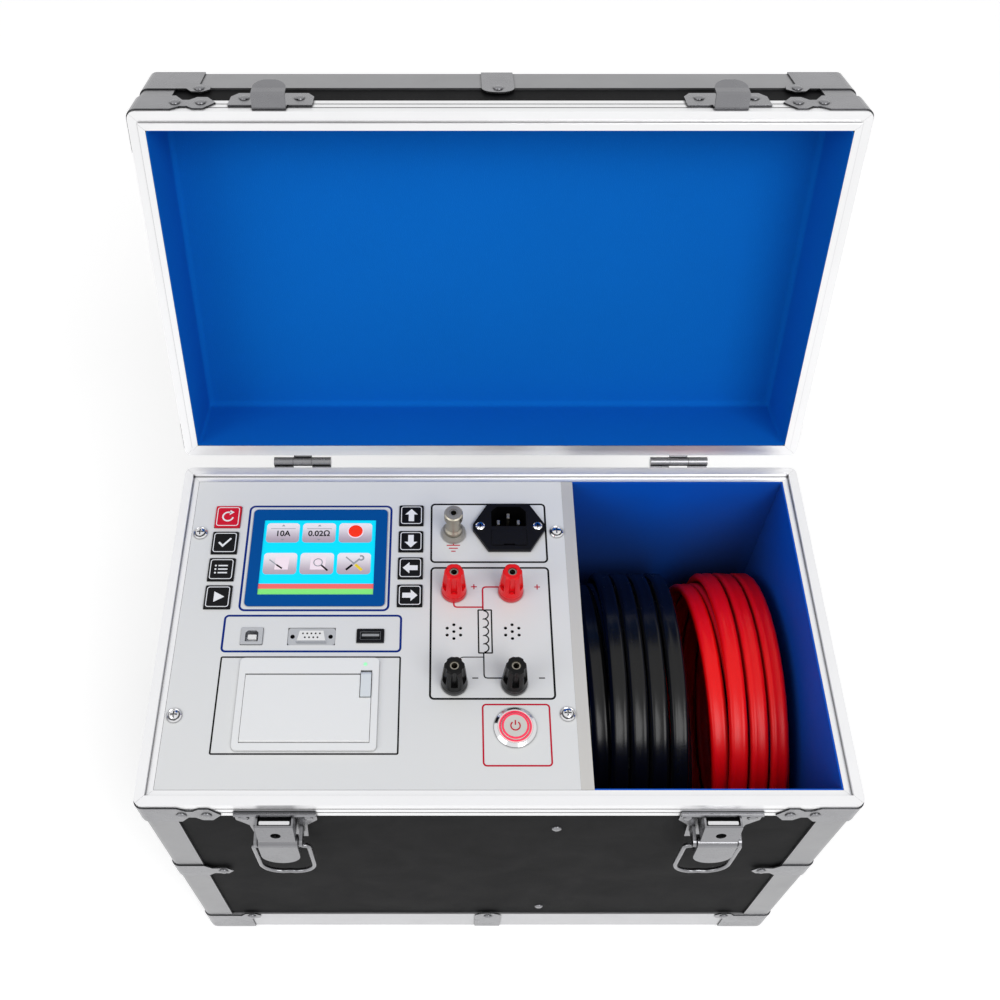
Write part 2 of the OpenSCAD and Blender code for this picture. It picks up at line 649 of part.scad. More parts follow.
module handle(side) color([0.12, 0.12, 0.12]) mirror([side, 0, 0])
    translate([case_w / 2 - skin_inset + handle_out, 0, handle_z]) {
        r = handle_rod_r;
        for (sy = [0, 1]) mirror([0, sy, 0]) {
            translate([0, handle_leg, 0]) rotate([-90, 0, 0]) cylinder(r = r, h = handle_eye_l + r);
            translate([0, handle_leg, 0]) sphere(r = r);
            translate([0, handle_leg, -handle_drop]) cylinder(r = r, h = handle_drop);
            translate([0, handle_leg, -handle_drop]) sphere(r = r);
            translate([0, grip_l / 2 - r, -handle_drop]) rotate([-90, 0, 0]) cylinder(r = r, h = handle_leg - grip_l / 2 + r);
        }
        translate([0, grip_l / 2, -handle_drop]) rotate([90, 0, 0]) rotate_extrude() polygon(concat([[0, 0]],
            [for (i = [0:2 * 6]) [grip_d / 2 - (i % 2) * 0.7, grip_l * (0.02 + 0.08 * i)]], [[0, grip_l]]));
    }

// Instrument panel with every cut-out
function key_places(at, size) = [for (i = [0:3]) [at[0], at[1] + key_pitch * (1.5 - i), size]];
all_keys = concat(key_places(left_key_at, left_key), key_places(right_key_at, right_key));

module panel_hole(at, size) on_panel(at) translate([-size[0] / 2, -size[1] / 2, -panel_t - overrun]) cube([size[0], size[1], panel_t + 2 * overrun]);

module panel_bore(at, r) on_panel(at) translate([0, 0, -panel_t - overrun]) cylinder(r = r, h = panel_t + 2 * overrun, $fn = facets);

module instrument_panel() color([0.86, 0.87, 0.88]) difference() {
    box([panel_x0, -panel_y1, z_under], [panel_x1, panel_y1, z_panel]);
    for (k = all_keys) panel_hole(k, [k[2] + 2 * key_gap, k[2] + 2 * key_gap]);
    panel_hole(screen_at, screen_size + [2, 2]);
    panel_hole(printer_at, pr_body + [0.4, 0.4]);
    panel_hole(usb_b_at, port_size[0] + [0.4, 0.4]);
    panel_hole(serial_at, port_size[1] + [0.4, 0.4]);
    panel_hole(usb_a_at, port_size[2] + [0.4, 0.4]);
    panel_hole(inlet_at, [inlet_body[0] + 0.4, inlet_body[1] + 0.4]);
    for (at = concat(post_places, [earth_at])) panel_bore(at, stud_r + 1);
    for (at = screw_at) panel_bore(at, screw_r + 0.3);
    panel_bore(switch_at, switch_r + 0.15);
    for (at = vent_at) {
        panel_bore(at, vent_hole_d / 2);
        for (i = [0:5]) panel_bore(at + vent_ring_r * [cos(60 * i + 30), sin(60 * i + 30)], vent_hole_d / 2);
    }
}

module panel_rails() color([0.62, 0.63, 0.65]) {
    y1 = panel_y1 - 10;
    z_top = z_under;
    z_leg = z_rim - leg_d - seam;
    wall = -case_w / 2 + board_u;
    difference() {
        along_y(-y1, y1) polygon([[wall, z_top - rail_h], [panel_x0 + rail_w, z_top - rail_h], [panel_x0 + rail_w, z_top],
            [panel_x0, z_top], [panel_x0, z_leg], [wall, z_leg]]);
        for (at = screw_at) on_panel(at) translate([0, 0, -panel_t - rail_h - overrun]) cylinder(r = screw_r, h = rail_h + 2 * overrun, $fn = facets);
    }
    difference() {
        along_y(-y1, y1) polygon([[panel_x1 - rail_w, z_top - rail_h], [divider_x0, z_top - rail_h], [divider_x0, z_ledge - cap_skirt - seam],
            [panel_x1, z_ledge - cap_skirt - seam], [panel_x1, z_top], [panel_x1 - rail_w, z_top]]);
        for (at = screw_at) on_panel(at) translate([0, 0, -panel_t - rail_h - overrun]) cylinder(r = screw_r, h = rail_h + 2 * overrun, $fn = facets);
    }
}

module panel_screws() color([0.75, 0.75, 0.77]) for (at = screw_at) on_panel(at) {
    rotate_extrude($fn = facets) polygon([[screw_r + 0.3, 0], [washer_r, 0], [washer_r - 0.2, 0.8], [washer_r - 0.9, washer_h], [screw_head_r + 0.3, washer_h - 0.3], [screw_r + 0.3, 0.6]]);
    difference() {
        rotate_extrude($fn = facets) polygon([[0, -rail_h], [screw_r, -rail_h], [screw_r, 0.7], [screw_head_r, washer_h - 0.2], [screw_head_r * 0.9, washer_h + 0.5], [screw_head_r * 0.55, washer_h + 1], [0, washer_h + 1.2]]);
        for (a = [0, 90]) rotate([0, 0, a]) translate([-2.3, -0.45, washer_h - 0.2]) cube([4.6, 0.9, 2]);
    }
}

module screen_bezel() color([0.1, 0.3, 0.62]) on_panel(screen_at) difference() {
    slab(rounded(bezel_size[0], bezel_size[1], bezel_round), 0, bezel_t);
    slab(rounded(screen_size[0], screen_size[1], 0), -overrun, bezel_t + overrun);
}

module display_module() color([0.55, 0.8, 0.85]) on_panel(screen_at) {
    slab(rounded(screen_size[0] + 1.4, screen_size[1] + 1.4, 0), -panel_t - 1, -hairline);
    slab(rounded(bezel_size[0] - 3, bezel_size[1] - 3, 0), -panel_t - 9, -panel_t - hairline);
}

// Main circuit board with the key switches, spacers and two buzzers
module control_board() {
    top = -board_drop + board_plate_t;
    color([0.05, 0.35, 0.18]) difference() {
        translate([0, 0, z_panel]) slab([[panel_x0 + rail_w + 1, -22], [panel_x1 - rail_w - 1, -22], [panel_x1 - rail_w - 1, panel_y1 - 5],
            [panel_x0 + rail_w + 1, panel_y1 - 5]], -board_drop, top);
        panel_deep(inlet_at, [inlet_body[0] + 3, inlet_body[1] + 3]);
        for (at = [v_plus_at, i_plus_at, earth_at]) on_panel(at) translate([0, 0, -board_drop - overrun]) cylinder(r = stud_r + 1.5, h = board_plate_t + 2 * overrun, $fn = facets);
    }
    color([0.15, 0.15, 0.15]) for (k = all_keys) if (abs(k[0]) < panel_w / 2 - rail_w - 3) on_panel(k)
        translate([-switch_block / 2, -switch_block / 2, top + hairline]) cube([switch_block, switch_block, switch_block_h]);
    color([0.15, 0.15, 0.15]) for (at = vent_at) on_panel(at) translate([0, 0, top + hairline]) cylinder(r = 6, h = 9.5, $fn = facets);
    color([0.75, 0.75, 0.75]) for (at = spacer_at) on_panel(at) translate([0, 0, top + hairline])
        cylinder(r = 3, h = board_drop - board_plate_t - panel_t - 2 * hairline, $fn = facets);
}
spacer_at = [[-90, 100], [10, 100], [-90, 3], [72, -14]];

module panel_deep(at, size) on_panel(at) translate([-size[0] / 2, -size[1] / 2, -board_drop - overrun]) cube([size[0], size[1], board_plate_t + 2 * overrun]);

// Sockets for data, each standing on the circuit board
port_size = [[14.3, 12.3], [31, 12.5], [17.8, 9.9]];
port_base = -board_drop + board_plate_t + hairline;
port_lip = 0.8;
shell_t = 1;
module data_ports() {
    color([0.85, 0.85, 0.87]) on_panel(usb_b_at) {
        difference() {
            slab(rounded(port_size[0][0], port_size[0][1], 0.6), port_base, port_lip);
            slab([[-4.3, -4], [4.3, -4], [4.3, 2.4], [2.7, 4], [-2.7, 4], [-4.3, 2.4]], -9, port_lip + overrun);
        }
        slab(rounded(5.6, 3.2, 0), -9 + hairline, port_lip - 1.5);
    }
    color([0.8, 0.8, 0.82]) on_panel(serial_at) difference() {
        union() {
            slab(rounded(port_size[1][0], port_size[1][1], 2), port_base, -0.5);
            slab([[-10, -4.3], [10, -4.3], [8.4, 4.3], [-8.4, 4.3]], -1, port_lip + 0.6);
        }
        for (i = [0:4]) translate([2.77 * (i - 2), 1.42, -5]) cylinder(r = 0.6, h = 8, $fn = 16);
        for (i = [0:3]) translate([2.77 * (i - 1.5), -1.42, -5]) cylinder(r = 0.6, h = 8, $fn = 16);
    }
    color([0.12, 0.12, 0.12]) on_panel(usb_a_at) {
        difference() {
            slab(rounded(port_size[2][0], port_size[2][1], 0.8), port_base, port_lip);
            slab(rounded(13.1, 5.7, 0), -12, port_lip + overrun);
        }
        translate([0, 1.2, 0]) slab(rounded(11.4, 1.8, 0), -12 + hairline, port_lip - 1.5);
    }
}

// Printer housing: bezel, paper bay and the hinge pins of the door and lever
lever_mid = pr_door_w / 2 - lever_w / 2 - 0.2;
lever_axis_y = 19;
door_y0 = -printer_size[1] / 2 + 5;
door_y1 = door_y0 + door_l;
door_pivot_y = door_y0 + door_t / 2;
head_y = door_y1 + 1;

module printer_frame() color([0.9, 0.9, 0.88]) on_panel(printer_at) {
    half_w = pr_door_w / 2 + 0.3;
    floor_z = -bay_depth;
    difference() {
        union() {
            slab(rounded(printer_size[0], printer_size[1], bezel_round), 0, pr_rim_h);
            slab(rounded(pr_body[0], pr_body[1], 0), floor_z - pr_wall, overrun);
        }
        slab([[-half_w, door_y0 - 0.4], [half_w, door_y0 - 0.4], [half_w, lever_axis_y + lever_r + 0.7],
            [lever_mid - lever_w / 2 - 0.3, lever_axis_y + lever_r + 0.7], [lever_mid - lever_w / 2 - 0.3, head_y], [-half_w, head_y]],
            -12, pr_rim_h + overrun);
        slab([[-pr_body[0] / 2 + pr_wall, door_y0], [pr_body[0] / 2 - pr_wall, door_y0], [pr_body[0] / 2 - pr_wall, head_y],
            [-pr_body[0] / 2 + pr_wall, head_y]], floor_z, -4);
    }
    both_sides() translate([pr_door_w / 2 - door_pin_l, door_pivot_y, door_t / 2]) rotate([0, 90, 0])
        cylinder(r = door_pin_r, h = door_pin_l + 0.5, $fn = facets);
    translate([lever_mid - lever_w / 2, lever_axis_y, 0.4]) rotate([0, 90, 0])
        cylinder(r = lever_pin_r, h = lever_w + 0.9, $fn = facets);
}

module printer_door() color([0.9, 0.9, 0.88]) on_panel(printer_at) {
    half_w = pr_door_w / 2;
    notch_x = lever_mid - lever_w / 2 - 0.5;
    notch_y = lever_axis_y - lever_l - 0.6;
    cheek_x = half_w - 12;
    roller_y = door_y1 - roller_r - 1.4;
    roller_z = -roller_r - 1.6;
    difference() {
        union() {
            slab([[-half_w, door_pivot_y], [half_w, door_pivot_y], [half_w, notch_y], [notch_x, notch_y], [notch_x, door_y1], [-half_w, door_y1]], 0, door_t);
            translate([-half_w, door_pivot_y, door_t / 2]) rotate([0, 90, 0]) cylinder(r = door_t / 2, h = pr_door_w);
            both_sides() along_x(cheek_x - 2, cheek_x) polygon([[roller_y - 4, door_t / 2], [roller_y - 3, roller_z - 2.6],
                [roller_y + 2.6, roller_z - 2.6], [roller_y + 3.5, door_t / 2]]);
        }
        both_sides() translate([half_w - door_pin_l - 0.5, door_pivot_y, door_t / 2]) rotate([0, 90, 0])
            cylinder(r = door_pin_r + fit_gap, h = door_pin_l + 2, $fn = facets);
        translate([-cheek_x - overrun, roller_y, roller_z]) rotate([0, 90, 0]) cylinder(r = 1.5 + hairline, h = 2 * (cheek_x + overrun), $fn = facets);
    }
    color([0.15, 0.15, 0.15]) translate([0, roller_y, roller_z]) rotate([0, 90, 0]) {
        translate([0, 0, -cheek_x + 2.2]) cylinder(r = roller_r, h = 2 * cheek_x - 4.4);
        translate([0, 0, -cheek_x]) cylinder(r = 1.5, h = 2 * cheek_x, $fn = facets);
    }
}

module printer_lever() color([0.88, 0.88, 0.86]) on_panel(printer_at) translate([lever_mid, lever_axis_y, 0.4]) difference() {
    union() {
        translate([-lever_w / 2, 0, 0]) rotate([0, 90, 0]) cylinder(r = lever_r, h = lever_w);
        translate([-lever_w / 2, -lever_l, lever_r - 2]) cube([lever_w, lever_l, 2]);
    }
    translate([-lever_w / 2 - overrun, 0, 0]) rotate([0, 90, 0]) cylinder(r = lever_pin_r + fit_gap, h = lever_w + 2 * overrun, $fn = facets);
}

module paper_roll() color([0.95, 0.95, 0.93]) on_panel(printer_at)
    translate([-roll_l / 2 - 4, door_y0 + roll_r + 6, -bay_depth + roll_r + air]) rotate([0, 90, 0]) difference() {
        cylinder(r = roll_r, h = roll_l);
        translate([0, 0, -overrun]) cylinder(r = roll_core_r, h = roll_l + 2 * overrun);
    }

// Terminal posts: metal studs, insulating collars and fluted caps
module terminal_studs() color([0.8, 0.78, 0.72]) for (at = concat(post_places, [earth_at])) on_panel(at) difference() {
    union() {
        translate([0, 0, -panel_t - stud_below]) cylinder(r = stud_r, h = panel_t + stud_below + stud_top);
        translate([0, 0, -panel_t - washer_below - nut_h]) cylinder(r = nut_r, h = nut_h, $fn = 6);
    }
    translate([0, 0, stud_top - socket_depth]) cylinder(r = socket_d / 2, h = socket_depth + overrun);
}

module terminal_collars() for (at = concat(post_places, [earth_at])) on_panel(at)
    color(at == earth_at ? [0.7, 0.7, 0.7] : at[1] > 0 ? [0.85, 0.05, 0.05] : [0.06, 0.06, 0.06]) difference() {
        union() {
            rotate_extrude() polygon([[0, 0], [post_d / 2, 0], [post_d / 2, collar_h * 0.6], [post_d / 2 - 0.8, collar_h], [0, collar_h]]);
            translate([0, 0, -panel_t - washer_below]) cylinder(r = stud_r + 0.8, h = panel_t + washer_below + overrun);
            translate([0, 0, -panel_t - washer_below]) cylinder(r = post_d / 2 - 2, h = washer_below);
        }
        translate([0, 0, -panel_t - washer_below - overrun]) cylinder(r = stud_r, h = panel_t + washer_below + collar_h + 2 * overrun);
    }

module post_cap(at, shade) color(shade) on_panel(at) translate([0, 0, collar_h + air]) difference() {
    rotate_extrude() polygon([[0, 0], [post_d / 2 - 0.5, 0], [post_d / 2 - 0.2, 1.2], [cap_top_r + 1, post_cap_h * 0.55],
        [cap_top_r, post_cap_h - 1], [cap_top_r - 1, post_cap_h], [0, post_cap_h]]);
    for (i = [0:flute_count - 1]) rotate([0, 0, 360 * (i + 0.5) / flute_count]) translate([cap_top_r + flute_r * 0.62, 0, post_cap_h * 0.26])
        cylinder(r = flute_r, h = post_cap_h, $fn = facets);
    translate([0, 0, -overrun]) cylinder(r = stud_r + fit_gap, h = post_cap_h + 2 * overrun);
}

earth_cap_h = 21.9;
module earth_cap() color([0.78, 0.78, 0.76]) on_panel(earth_at) translate([0, 0, collar_h + air]) difference() {
    rotate_extrude() polygon([[0, 0], [6.2, 0], [6.2, 3], [5, 4.6], [4.8, earth_cap_h * 0.62], [6.4, earth_cap_h * 0.7], [6.4, earth_cap_h - 0.8],
        [5.6, earth_cap_h], [0, earth_cap_h]]);
    translate([0, 0, -overrun]) cylinder(r = stud_r + fit_gap, h = earth_cap_h + 2 * overrun);
}

// Mains inlet with its fuse drawer
module power_inlet() color([0.07, 0.07, 0.08]) on_panel(inlet_at) {
    h = inlet_half;
    difference() {
        union() {
            slab([[-h[0], -2], [-inlet_top_half, -h[1]], [inlet_top_half, -h[1]], [h[0], -2], [h[0], 2], [inlet_top_half, h[1]], [-inlet_top_half, h[1]], [-h[0], 2]], 0, flange_t);
            slab(rounded(inlet_body[0], inlet_body[1], 0), -inlet_body[2], overrun);
        }
        translate([0, mouth_off, 0]) slab([[-inlet_mouth[0] / 2, -inlet_mouth[1] / 2], [inlet_mouth[0] / 2, -inlet_mouth[1] / 2],
            [inlet_mouth[0] / 2, inlet_mouth[1] / 2 - 4], [inlet_mouth[0] / 2 - 4, inlet_mouth[1] / 2],
            [-inlet_mouth[0] / 2 + 4, inlet_mouth[1] / 2], [-inlet_mouth[0] / 2, inlet_mouth[1] / 2 - 4]], flange_t - mouth_drop, flange_t + overrun);
        translate([0, drawer_off, 0]) slab(rounded(drawer_size[0] + 0.4, drawer_size[1] + 0.4, 0), flange_t - drawer_depth - 1, flange_t + overrun);
    }
    for (x = [-1, 1]) translate([x * inlet_screw, 0, flange_t]) rivet();
    for (pin = [[-7, -2], [0, 3.5], [7, -2]]) translate([pin[0], mouth_off + pin[1], 0])
        slab(rounded(pin_size[0], pin_size[1], 0), flange_t - mouth_drop + hairline, flange_t - 4.6);
}

module fuse_drawer() on_panel(inlet_at) translate([0, drawer_off, 0]) {
    z = flange_t - drawer_depth + 2;
    r = fuse_d / 2;
    y = -drawer_size[1] / 2;
    color([0.1, 0.1, 0.11]) difference() {
        slab(rounded(drawer_size[0], drawer_size[1], 0), flange_t - drawer_depth, flange_t + 0.5);
        translate([0, y, 0]) slab(rounded(8, 2, 0), flange_t - 2, flange_t + overrun);
        box([-fuse_l / 2 - seam, y + 1.4, z], [fuse_l / 2 + seam, -y + overrun, z + fuse_d + 2 * seam]);
    }
    color([0.8, 0.75, 0.6]) translate([-fuse_l / 2, y + 1.4 + r + seam, z + r + seam]) rotate([0, 90, 0]) cylinder(r = r, h = fuse_l);
}

module power_switch_body() color([0.8, 0.8, 0.82]) on_panel(switch_at) difference() {
    union() {
        rotate_extrude() polygon([[0, 0], [switch_d / 2, 0], [switch_d / 2, switch_rise * 0.4], [switch_d / 2 - 2, switch_rise], [0, switch_rise]]);
        translate([0, 0, -switch_depth]) cylinder(r = switch_r, h = switch_depth + overrun);
        translate([0, 0, -panel_t - 4]) cylinder(r = switch_r + 3, h = 4);
        for (a = [0:90:270]) rotate([0, 0, a]) translate([5, -1.4, -switch_depth - 7]) cube([0.8, 2.8, 8]);
    }
    translate([0, 0, -9]) cylinder(r = button_d / 2 + fit_gap, h = 9 + switch_rise + overrun);
}

module power_button() color([0.7, 0.7, 0.72]) on_panel(switch_at) rotate_extrude()
    polygon([[0, -5], [button_d / 2, -5], [button_d / 2, switch_rise + 0.4], [button_d / 2 - 0.6, switch_rise + 0.9], [0, switch_rise + 0.7]]);

// Keys are numbered from the back of the panel to the front
module key(index) color(index == 0 ? [0.8, 0.1, 0.12] : [0.12, 0.12, 0.13]) {
    k = all_keys[index];
    lip = k[2] + 2 * key_gap + key_lip;
    on_panel(k) {
        slab(rounded(k[2], k[2], 1), -panel_t - key_lip_t - 0.1, key_rise);
        slab(rounded(lip, lip, 0), -panel_t - key_lip_t - 0.1, -panel_t - 0.1);
        slab(rounded(key_stem, key_stem, 0), -board_drop + board_plate_t + switch_block_h + key_travel + 0.2, -panel_t - key_lip_t);
    }
}

// Power electronics standing on the floor of the case
supply_size = [150, 95, 42];
supply_at = [-188, -102];
module power_supply() color([0.66, 0.67, 0.69]) translate([supply_at[0], supply_at[1], z_floor]) difference() {
    cube(supply_size);
    for (i = [0:8]) translate([20 + 12 * i, 12, supply_size[2] - 3]) cube([5, supply_size[1] - 24, 3 + overrun]);
}

sink_size = [130, 92, 58];
sink_at = [-188, 14];
fins = 11;
module current_module() color([0.6, 0.61, 0.63]) translate([sink_at[0], sink_at[1], z_floor]) {
    cube([sink_size[0], sink_size[1], 8]);
    for (i = [0:fins - 1]) translate([i * (sink_size[0] - 3) / (fins - 1), 0, 8 - hairline]) cube([3, sink_size[1], sink_size[2] - 8]);
}

// Lid, drawn closed with Z from the rim, then opened
module lid_boards() color([0.09, 0.09, 0.09]) opened() {
    wall_boards(lid_gap + channel_d, lid_h - trim_t);
    slab(rounded(case_w - 2 * board_u - 2 * seam, case_d - 2 * board_u - 2 * seam, 0), lid_h - trim_t - board_t, lid_h - trim_t);
}

module lid_rim() color([0.83, 0.84, 0.86]) opened() mitred(-rim_step, skirt_h + lid_gap) difference() {
    union() {
        ring(0, rim_w, lid_gap, skirt_h + lid_gap);
        ring(lip_w + lid_gap, rim_w, lid_gap * 2 - rim_step, lid_gap + overrun);
    }
    ring(skin_inset, board_u, lid_gap + channel_d, skirt_h + lid_gap + overrun);
    ring(board_u - overrun, rim_w + overrun, lid_gap + leg_d, skirt_h + lid_gap + overrun);
    for (share = groove_drop_share)
        ring(-overrun, groove_d, skirt_h * share - groove_w / 2, skirt_h * share + groove_w / 2);
}

module lid_edging() color([0.78, 0.79, 0.8]) opened() {
    z0 = lid_h - lid_edging_h;
    mitred(z0, lid_h) union() {
        ring(trim_u, skin_inset, z0, lid_h);
        ring(trim_u, lid_edging_h, lid_h - trim_t, lid_h);
    }
    corner_angles(skirt_h + lid_gap + seam, z0 - seam);
}

module lid_brackets() color([0.7, 0.7, 0.72]) opened() {
    drop = 2.6;
    at_corners() {
        corner_bracket(rim_bracket_shares, rim_bracket_size, drop, false, 0);
        corner_rivets([for (s = rim_rivet_shares) s * rim_bracket_size[0]], drop + rim_bracket_size[1] * 0.46, -bracket_t);
        union() {
            corner_bracket(foot_bracket_shares, foot_bracket_size, lid_h + bracket_t, true, trim_u);
            corner_plate(foot_bracket_size[0] * 0.82, lid_h);
        }
        corner_rivets([foot_rivet_share[0] * foot_bracket_size[0]], lid_h + bracket_t - foot_rivet_share[1] * foot_bracket_size[1], trim_u - bracket_t);
    }
    centre_clip(lid_h, -1);
    translate([0, -case_d / 2 + trim_u - bracket_t, lid_h - clip_h + clip_half * 0.7]) rotate([90, 0, 0]) rivet();
}

module lid_liner() color([0.03, 0.25, 0.65]) opened() {
    points = liner_points(lid_cavity - hairline, 2 * lid_gap - rim_step + 2 * seam, lid_gap + leg_d + seam);
    inner_x = case_w / 2 - liner_u;
    inner_y = case_d / 2 - liner_u;
    for (sy = [0, 1]) mirror([0, sy, 0]) along_x(-inner_x + hairline, inner_x - hairline)
        polygon([for (p = points) [p[0] - case_d / 2, p[1]]]);
    both_sides() along_y(-panel_y1, panel_y1) polygon([for (p = points) [case_w / 2 - p[0], p[1]]]);
    slab(rounded(2 * (inner_x - hairline), 2 * (inner_y - hairline), 0), lid_cavity, lid_h - trim_t - board_t);
}

// Test leads: each is one flat cable that winds out in two layers, from the clip in the eye to the plugs on the floor
function smooth(t) = 3 * t * t - 2 * t * t * t;

// Place on the coil at a sweep angle: [x offset, radius]
function coil_at(sweep, turns) =
    let (fill = 360 * turns, top = turns * lead_pitch)
    sweep <= fill ? [sweep / 360 * lead_pitch, inner_r]
    : sweep <= fill + 180 ? let (t = (sweep - fill) / 180) [top + lead_pitch / 2 * (t - t * t), inner_r + layer_step * smooth(t)]
    : [top - (sweep - fill - 180) / 360 * lead_pitch, outer_r];

function bezier(p, t) = p[0] * pow(1 - t, 3) + 3 * p[1] * t * pow(1 - t, 2) + 3 * p[2] * t * t * (1 - t) + p[3] * pow(t, 3);

// Points of a lead in the plane of its coil, as [x, y, z] from the middle of the coil
eye_y = 40;
eye_z = -76;
lead_tail = 46;
function lead_path(turns) =
    let (
        last = 360 * (2 * turns - 0.25),
        curve = [[0, eye_y, eye_z], [0, eye_y + 22, eye_z], [0, inner_r, -38], [0, inner_r, 0]],
        end = coil_at(last, turns)
    )
    concat(
        [[0, eye_y - cable_w, eye_z]],
        [for (i = [0:7]) bezier(curve, i / 8)],
        [for (i = [0:last * rings / 360]) let (s = i * 360 / rings, c = coil_at(s, turns)) [c[0], c[1] * cos(s), c[1] * sin(s)]],
        [for (i = [1:3]) [end[0], lead_tail * i / 3, -outer_r]]
    );

// The six points of the flat section, as [across, through]
section = [[cable_w / 2, 0], [cable_w / 3, cable_t / 2], [-cable_w / 3, cable_t / 2],
    [-cable_w / 2, 0], [-cable_w / 3, -cable_t / 2], [cable_w / 3, -cable_t / 2]];

function unit(v) = v / norm(v);

function lead_rings(path) = [for (i = [0:len(path) - 1])
    let (
        t = unit(path[min(i + 1, len(path) - 1)] - path[max(i - 1, 0)]),
        w = unit([1, 0, 0] - t * t[0]),
        n = cross(t, w)
    )
    [for (s = section) path[i] + w * s[0] + n * s[1]]];

module flat_lead(turns) {
    path = lead_path(turns);
    loops = lead_rings(path);
    n = len(loops);
    m = len(section);
    sides = [for (i = [0:n - 2], j = [0:m - 1]) let (a = i * m + j, b = i * m + (j + 1) % m)
        each [[a, a + m, b + m], [a, b + m, b]]];
    caps = [for (j = [1:m - 2]) each [[0, j, j + 1], [(n - 1) * m, (n - 1) * m + j + 1, (n - 1) * m + j]]];
    polyhedron(points = [for (l = loops) each l], faces = concat(sides, caps));
    near = 2 * cable_w;
    gaps = [for (i = [0:n - 1], j = [i + 12:1:n - 1]) if (norm(path[i] - path[j]) < near)
        min([for (a = loops[i], b = loops[j]) norm(a - b)])];
    echo(least_self_gap = min(gaps), length = len_of(path));
}

function len_of(path, i = 1) = i >= len(path) ? 0 : norm(path[i] - path[i - 1]) + len_of(path, i + 1);

module black_lead() color([0.05, 0.05, 0.06]) translate([black_x, 0, coil_z]) flat_lead(black_turns);

module red_lead() color([0.85, 0.04, 0.04]) translate([red_x, 0, coil_z]) flat_lead(red_turns);

// Clip in the eye of a coil, and the boot with two plugs at the other end
clip_l = 79;
clip_half_w = 7.5;
boot = [20, 13, 7.6];
plug_r = 4.5;
plug_l = 30;
plug_pin_l = 15;
plug_pitch = 10.5;
module lead_ends(x, turns, shade) {
    end_x = x + coil_at(360 * (2 * turns - 0.25), turns)[0];
    color(shade) translate([x, eye_y - cable_w, coil_z + eye_z]) {
        along_x(-clip_half_w, clip_half_w) polygon([[0, -4.5], [0, 4.5], [-6, 8], [-30, 9], [-44, 6], [-clip_l, 1.2],
            [-clip_l, -0.4], [-clip_l + 4, -0.8], [-clip_l + 22, -1], [-clip_l + 22, -1.8], [-clip_l + 4, -1.4], [-clip_l, -1.6], [-clip_l, -3],
            [-44, -7], [-30, -9], [-6, -8]]);
        translate([-clip_half_w - 0.8, -36, 0]) rotate([0, 90, 0]) difference() {
            cylinder(r = 2.4, h = 2 * clip_half_w + 1.6, $fn = facets);
            translate([0, 0, 0.8 - hairline]) cylinder(r = 3, h = 2 * clip_half_w + 2 * hairline, $fn = facets);
        }
    }
    floor_z = hold_z0 + hairline;
    color(shade) translate([end_x, lead_tail, floor_z]) {
        mid = coil_z - outer_r - floor_z;
        box([-boot[0] / 2, 0, 0], [boot[0] / 2, boot[1], boot[2]]);
        both_sides() translate([plug_pitch / 2, boot[1] - hairline, plug_r]) rotate([-90, 0, 0]) {
            cylinder(r = plug_r, h = plug_l);
            cylinder(r = socket_d / 2 - fit_gap, h = plug_l + plug_pin_l);
        }
    }
}

module black_lead_ends() lead_ends(black_x, black_turns, [0.08, 0.08, 0.08]);
module red_lead_ends() lead_ends(red_x, red_turns, [0.75, 0.05, 0.05]);

case_walls();
case_floor();
base_rim();
base_edging();
base_brackets();
rubber_feet();
divider();
compartment_liner();
base_hinge_leaves();
latch_plates();
handle_plates();
instrument_panel();
panel_rails();
panel_screws();
screen_bezel();
display_module();
control_board();
data_ports();
printer_frame();
paper_roll();
terminal_studs();
terminal_collars();
power_inlet();
power_switch_body();
power_supply();
current_module();
handle(1);  // left_handle
handle(0);  // right_handle
latch_lever(-latch_x);  // left_latch_lever
latch_lever(latch_x);  // right_latch_lever
latch_bail(-latch_x);  // left_latch_bail
latch_bail(latch_x);  // right_latch_bail
power_button();
printer_door();
printer_lever();
fuse_drawer();
post_cap(v_plus_at, [0.85, 0.05, 0.05]);  // v_plus_cap
post_cap(i_plus_at, [0.85, 0.05, 0.05]);  // i_plus_cap
post_cap(v_minus_at, [0.06, 0.06, 0.06]);  // v_minus_cap
post_cap(i_minus_at, [0.06, 0.06, 0.06]);  // i_minus_cap
earth_cap();
key(0);  // left_key_1
key(1);  // left_key_2
key(2);  // left_key_3
key(3);  // left_key_4
key(4);  // right_key_1
key(5);  // right_key_2
key(6);  // right_key_3
key(7);  // right_key_4
lid_boards();
lid_rim();
lid_edging();
lid_brackets();
lid_liner();
lid_hinge_leaves();
catch_plates();
black_lead();
red_lead();
black_lead_ends();
red_lead_ends();
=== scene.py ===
"""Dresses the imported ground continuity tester: camera, leads, print, lining, sockets, lights and finishes.

Lengths are in millimetres in the part's own frame until a mesh is made, and in metres from there on.
"""

import json
import logging
import math
from collections.abc import Sequence
from dataclasses import dataclass, field
from enum import Enum
from functools import cache

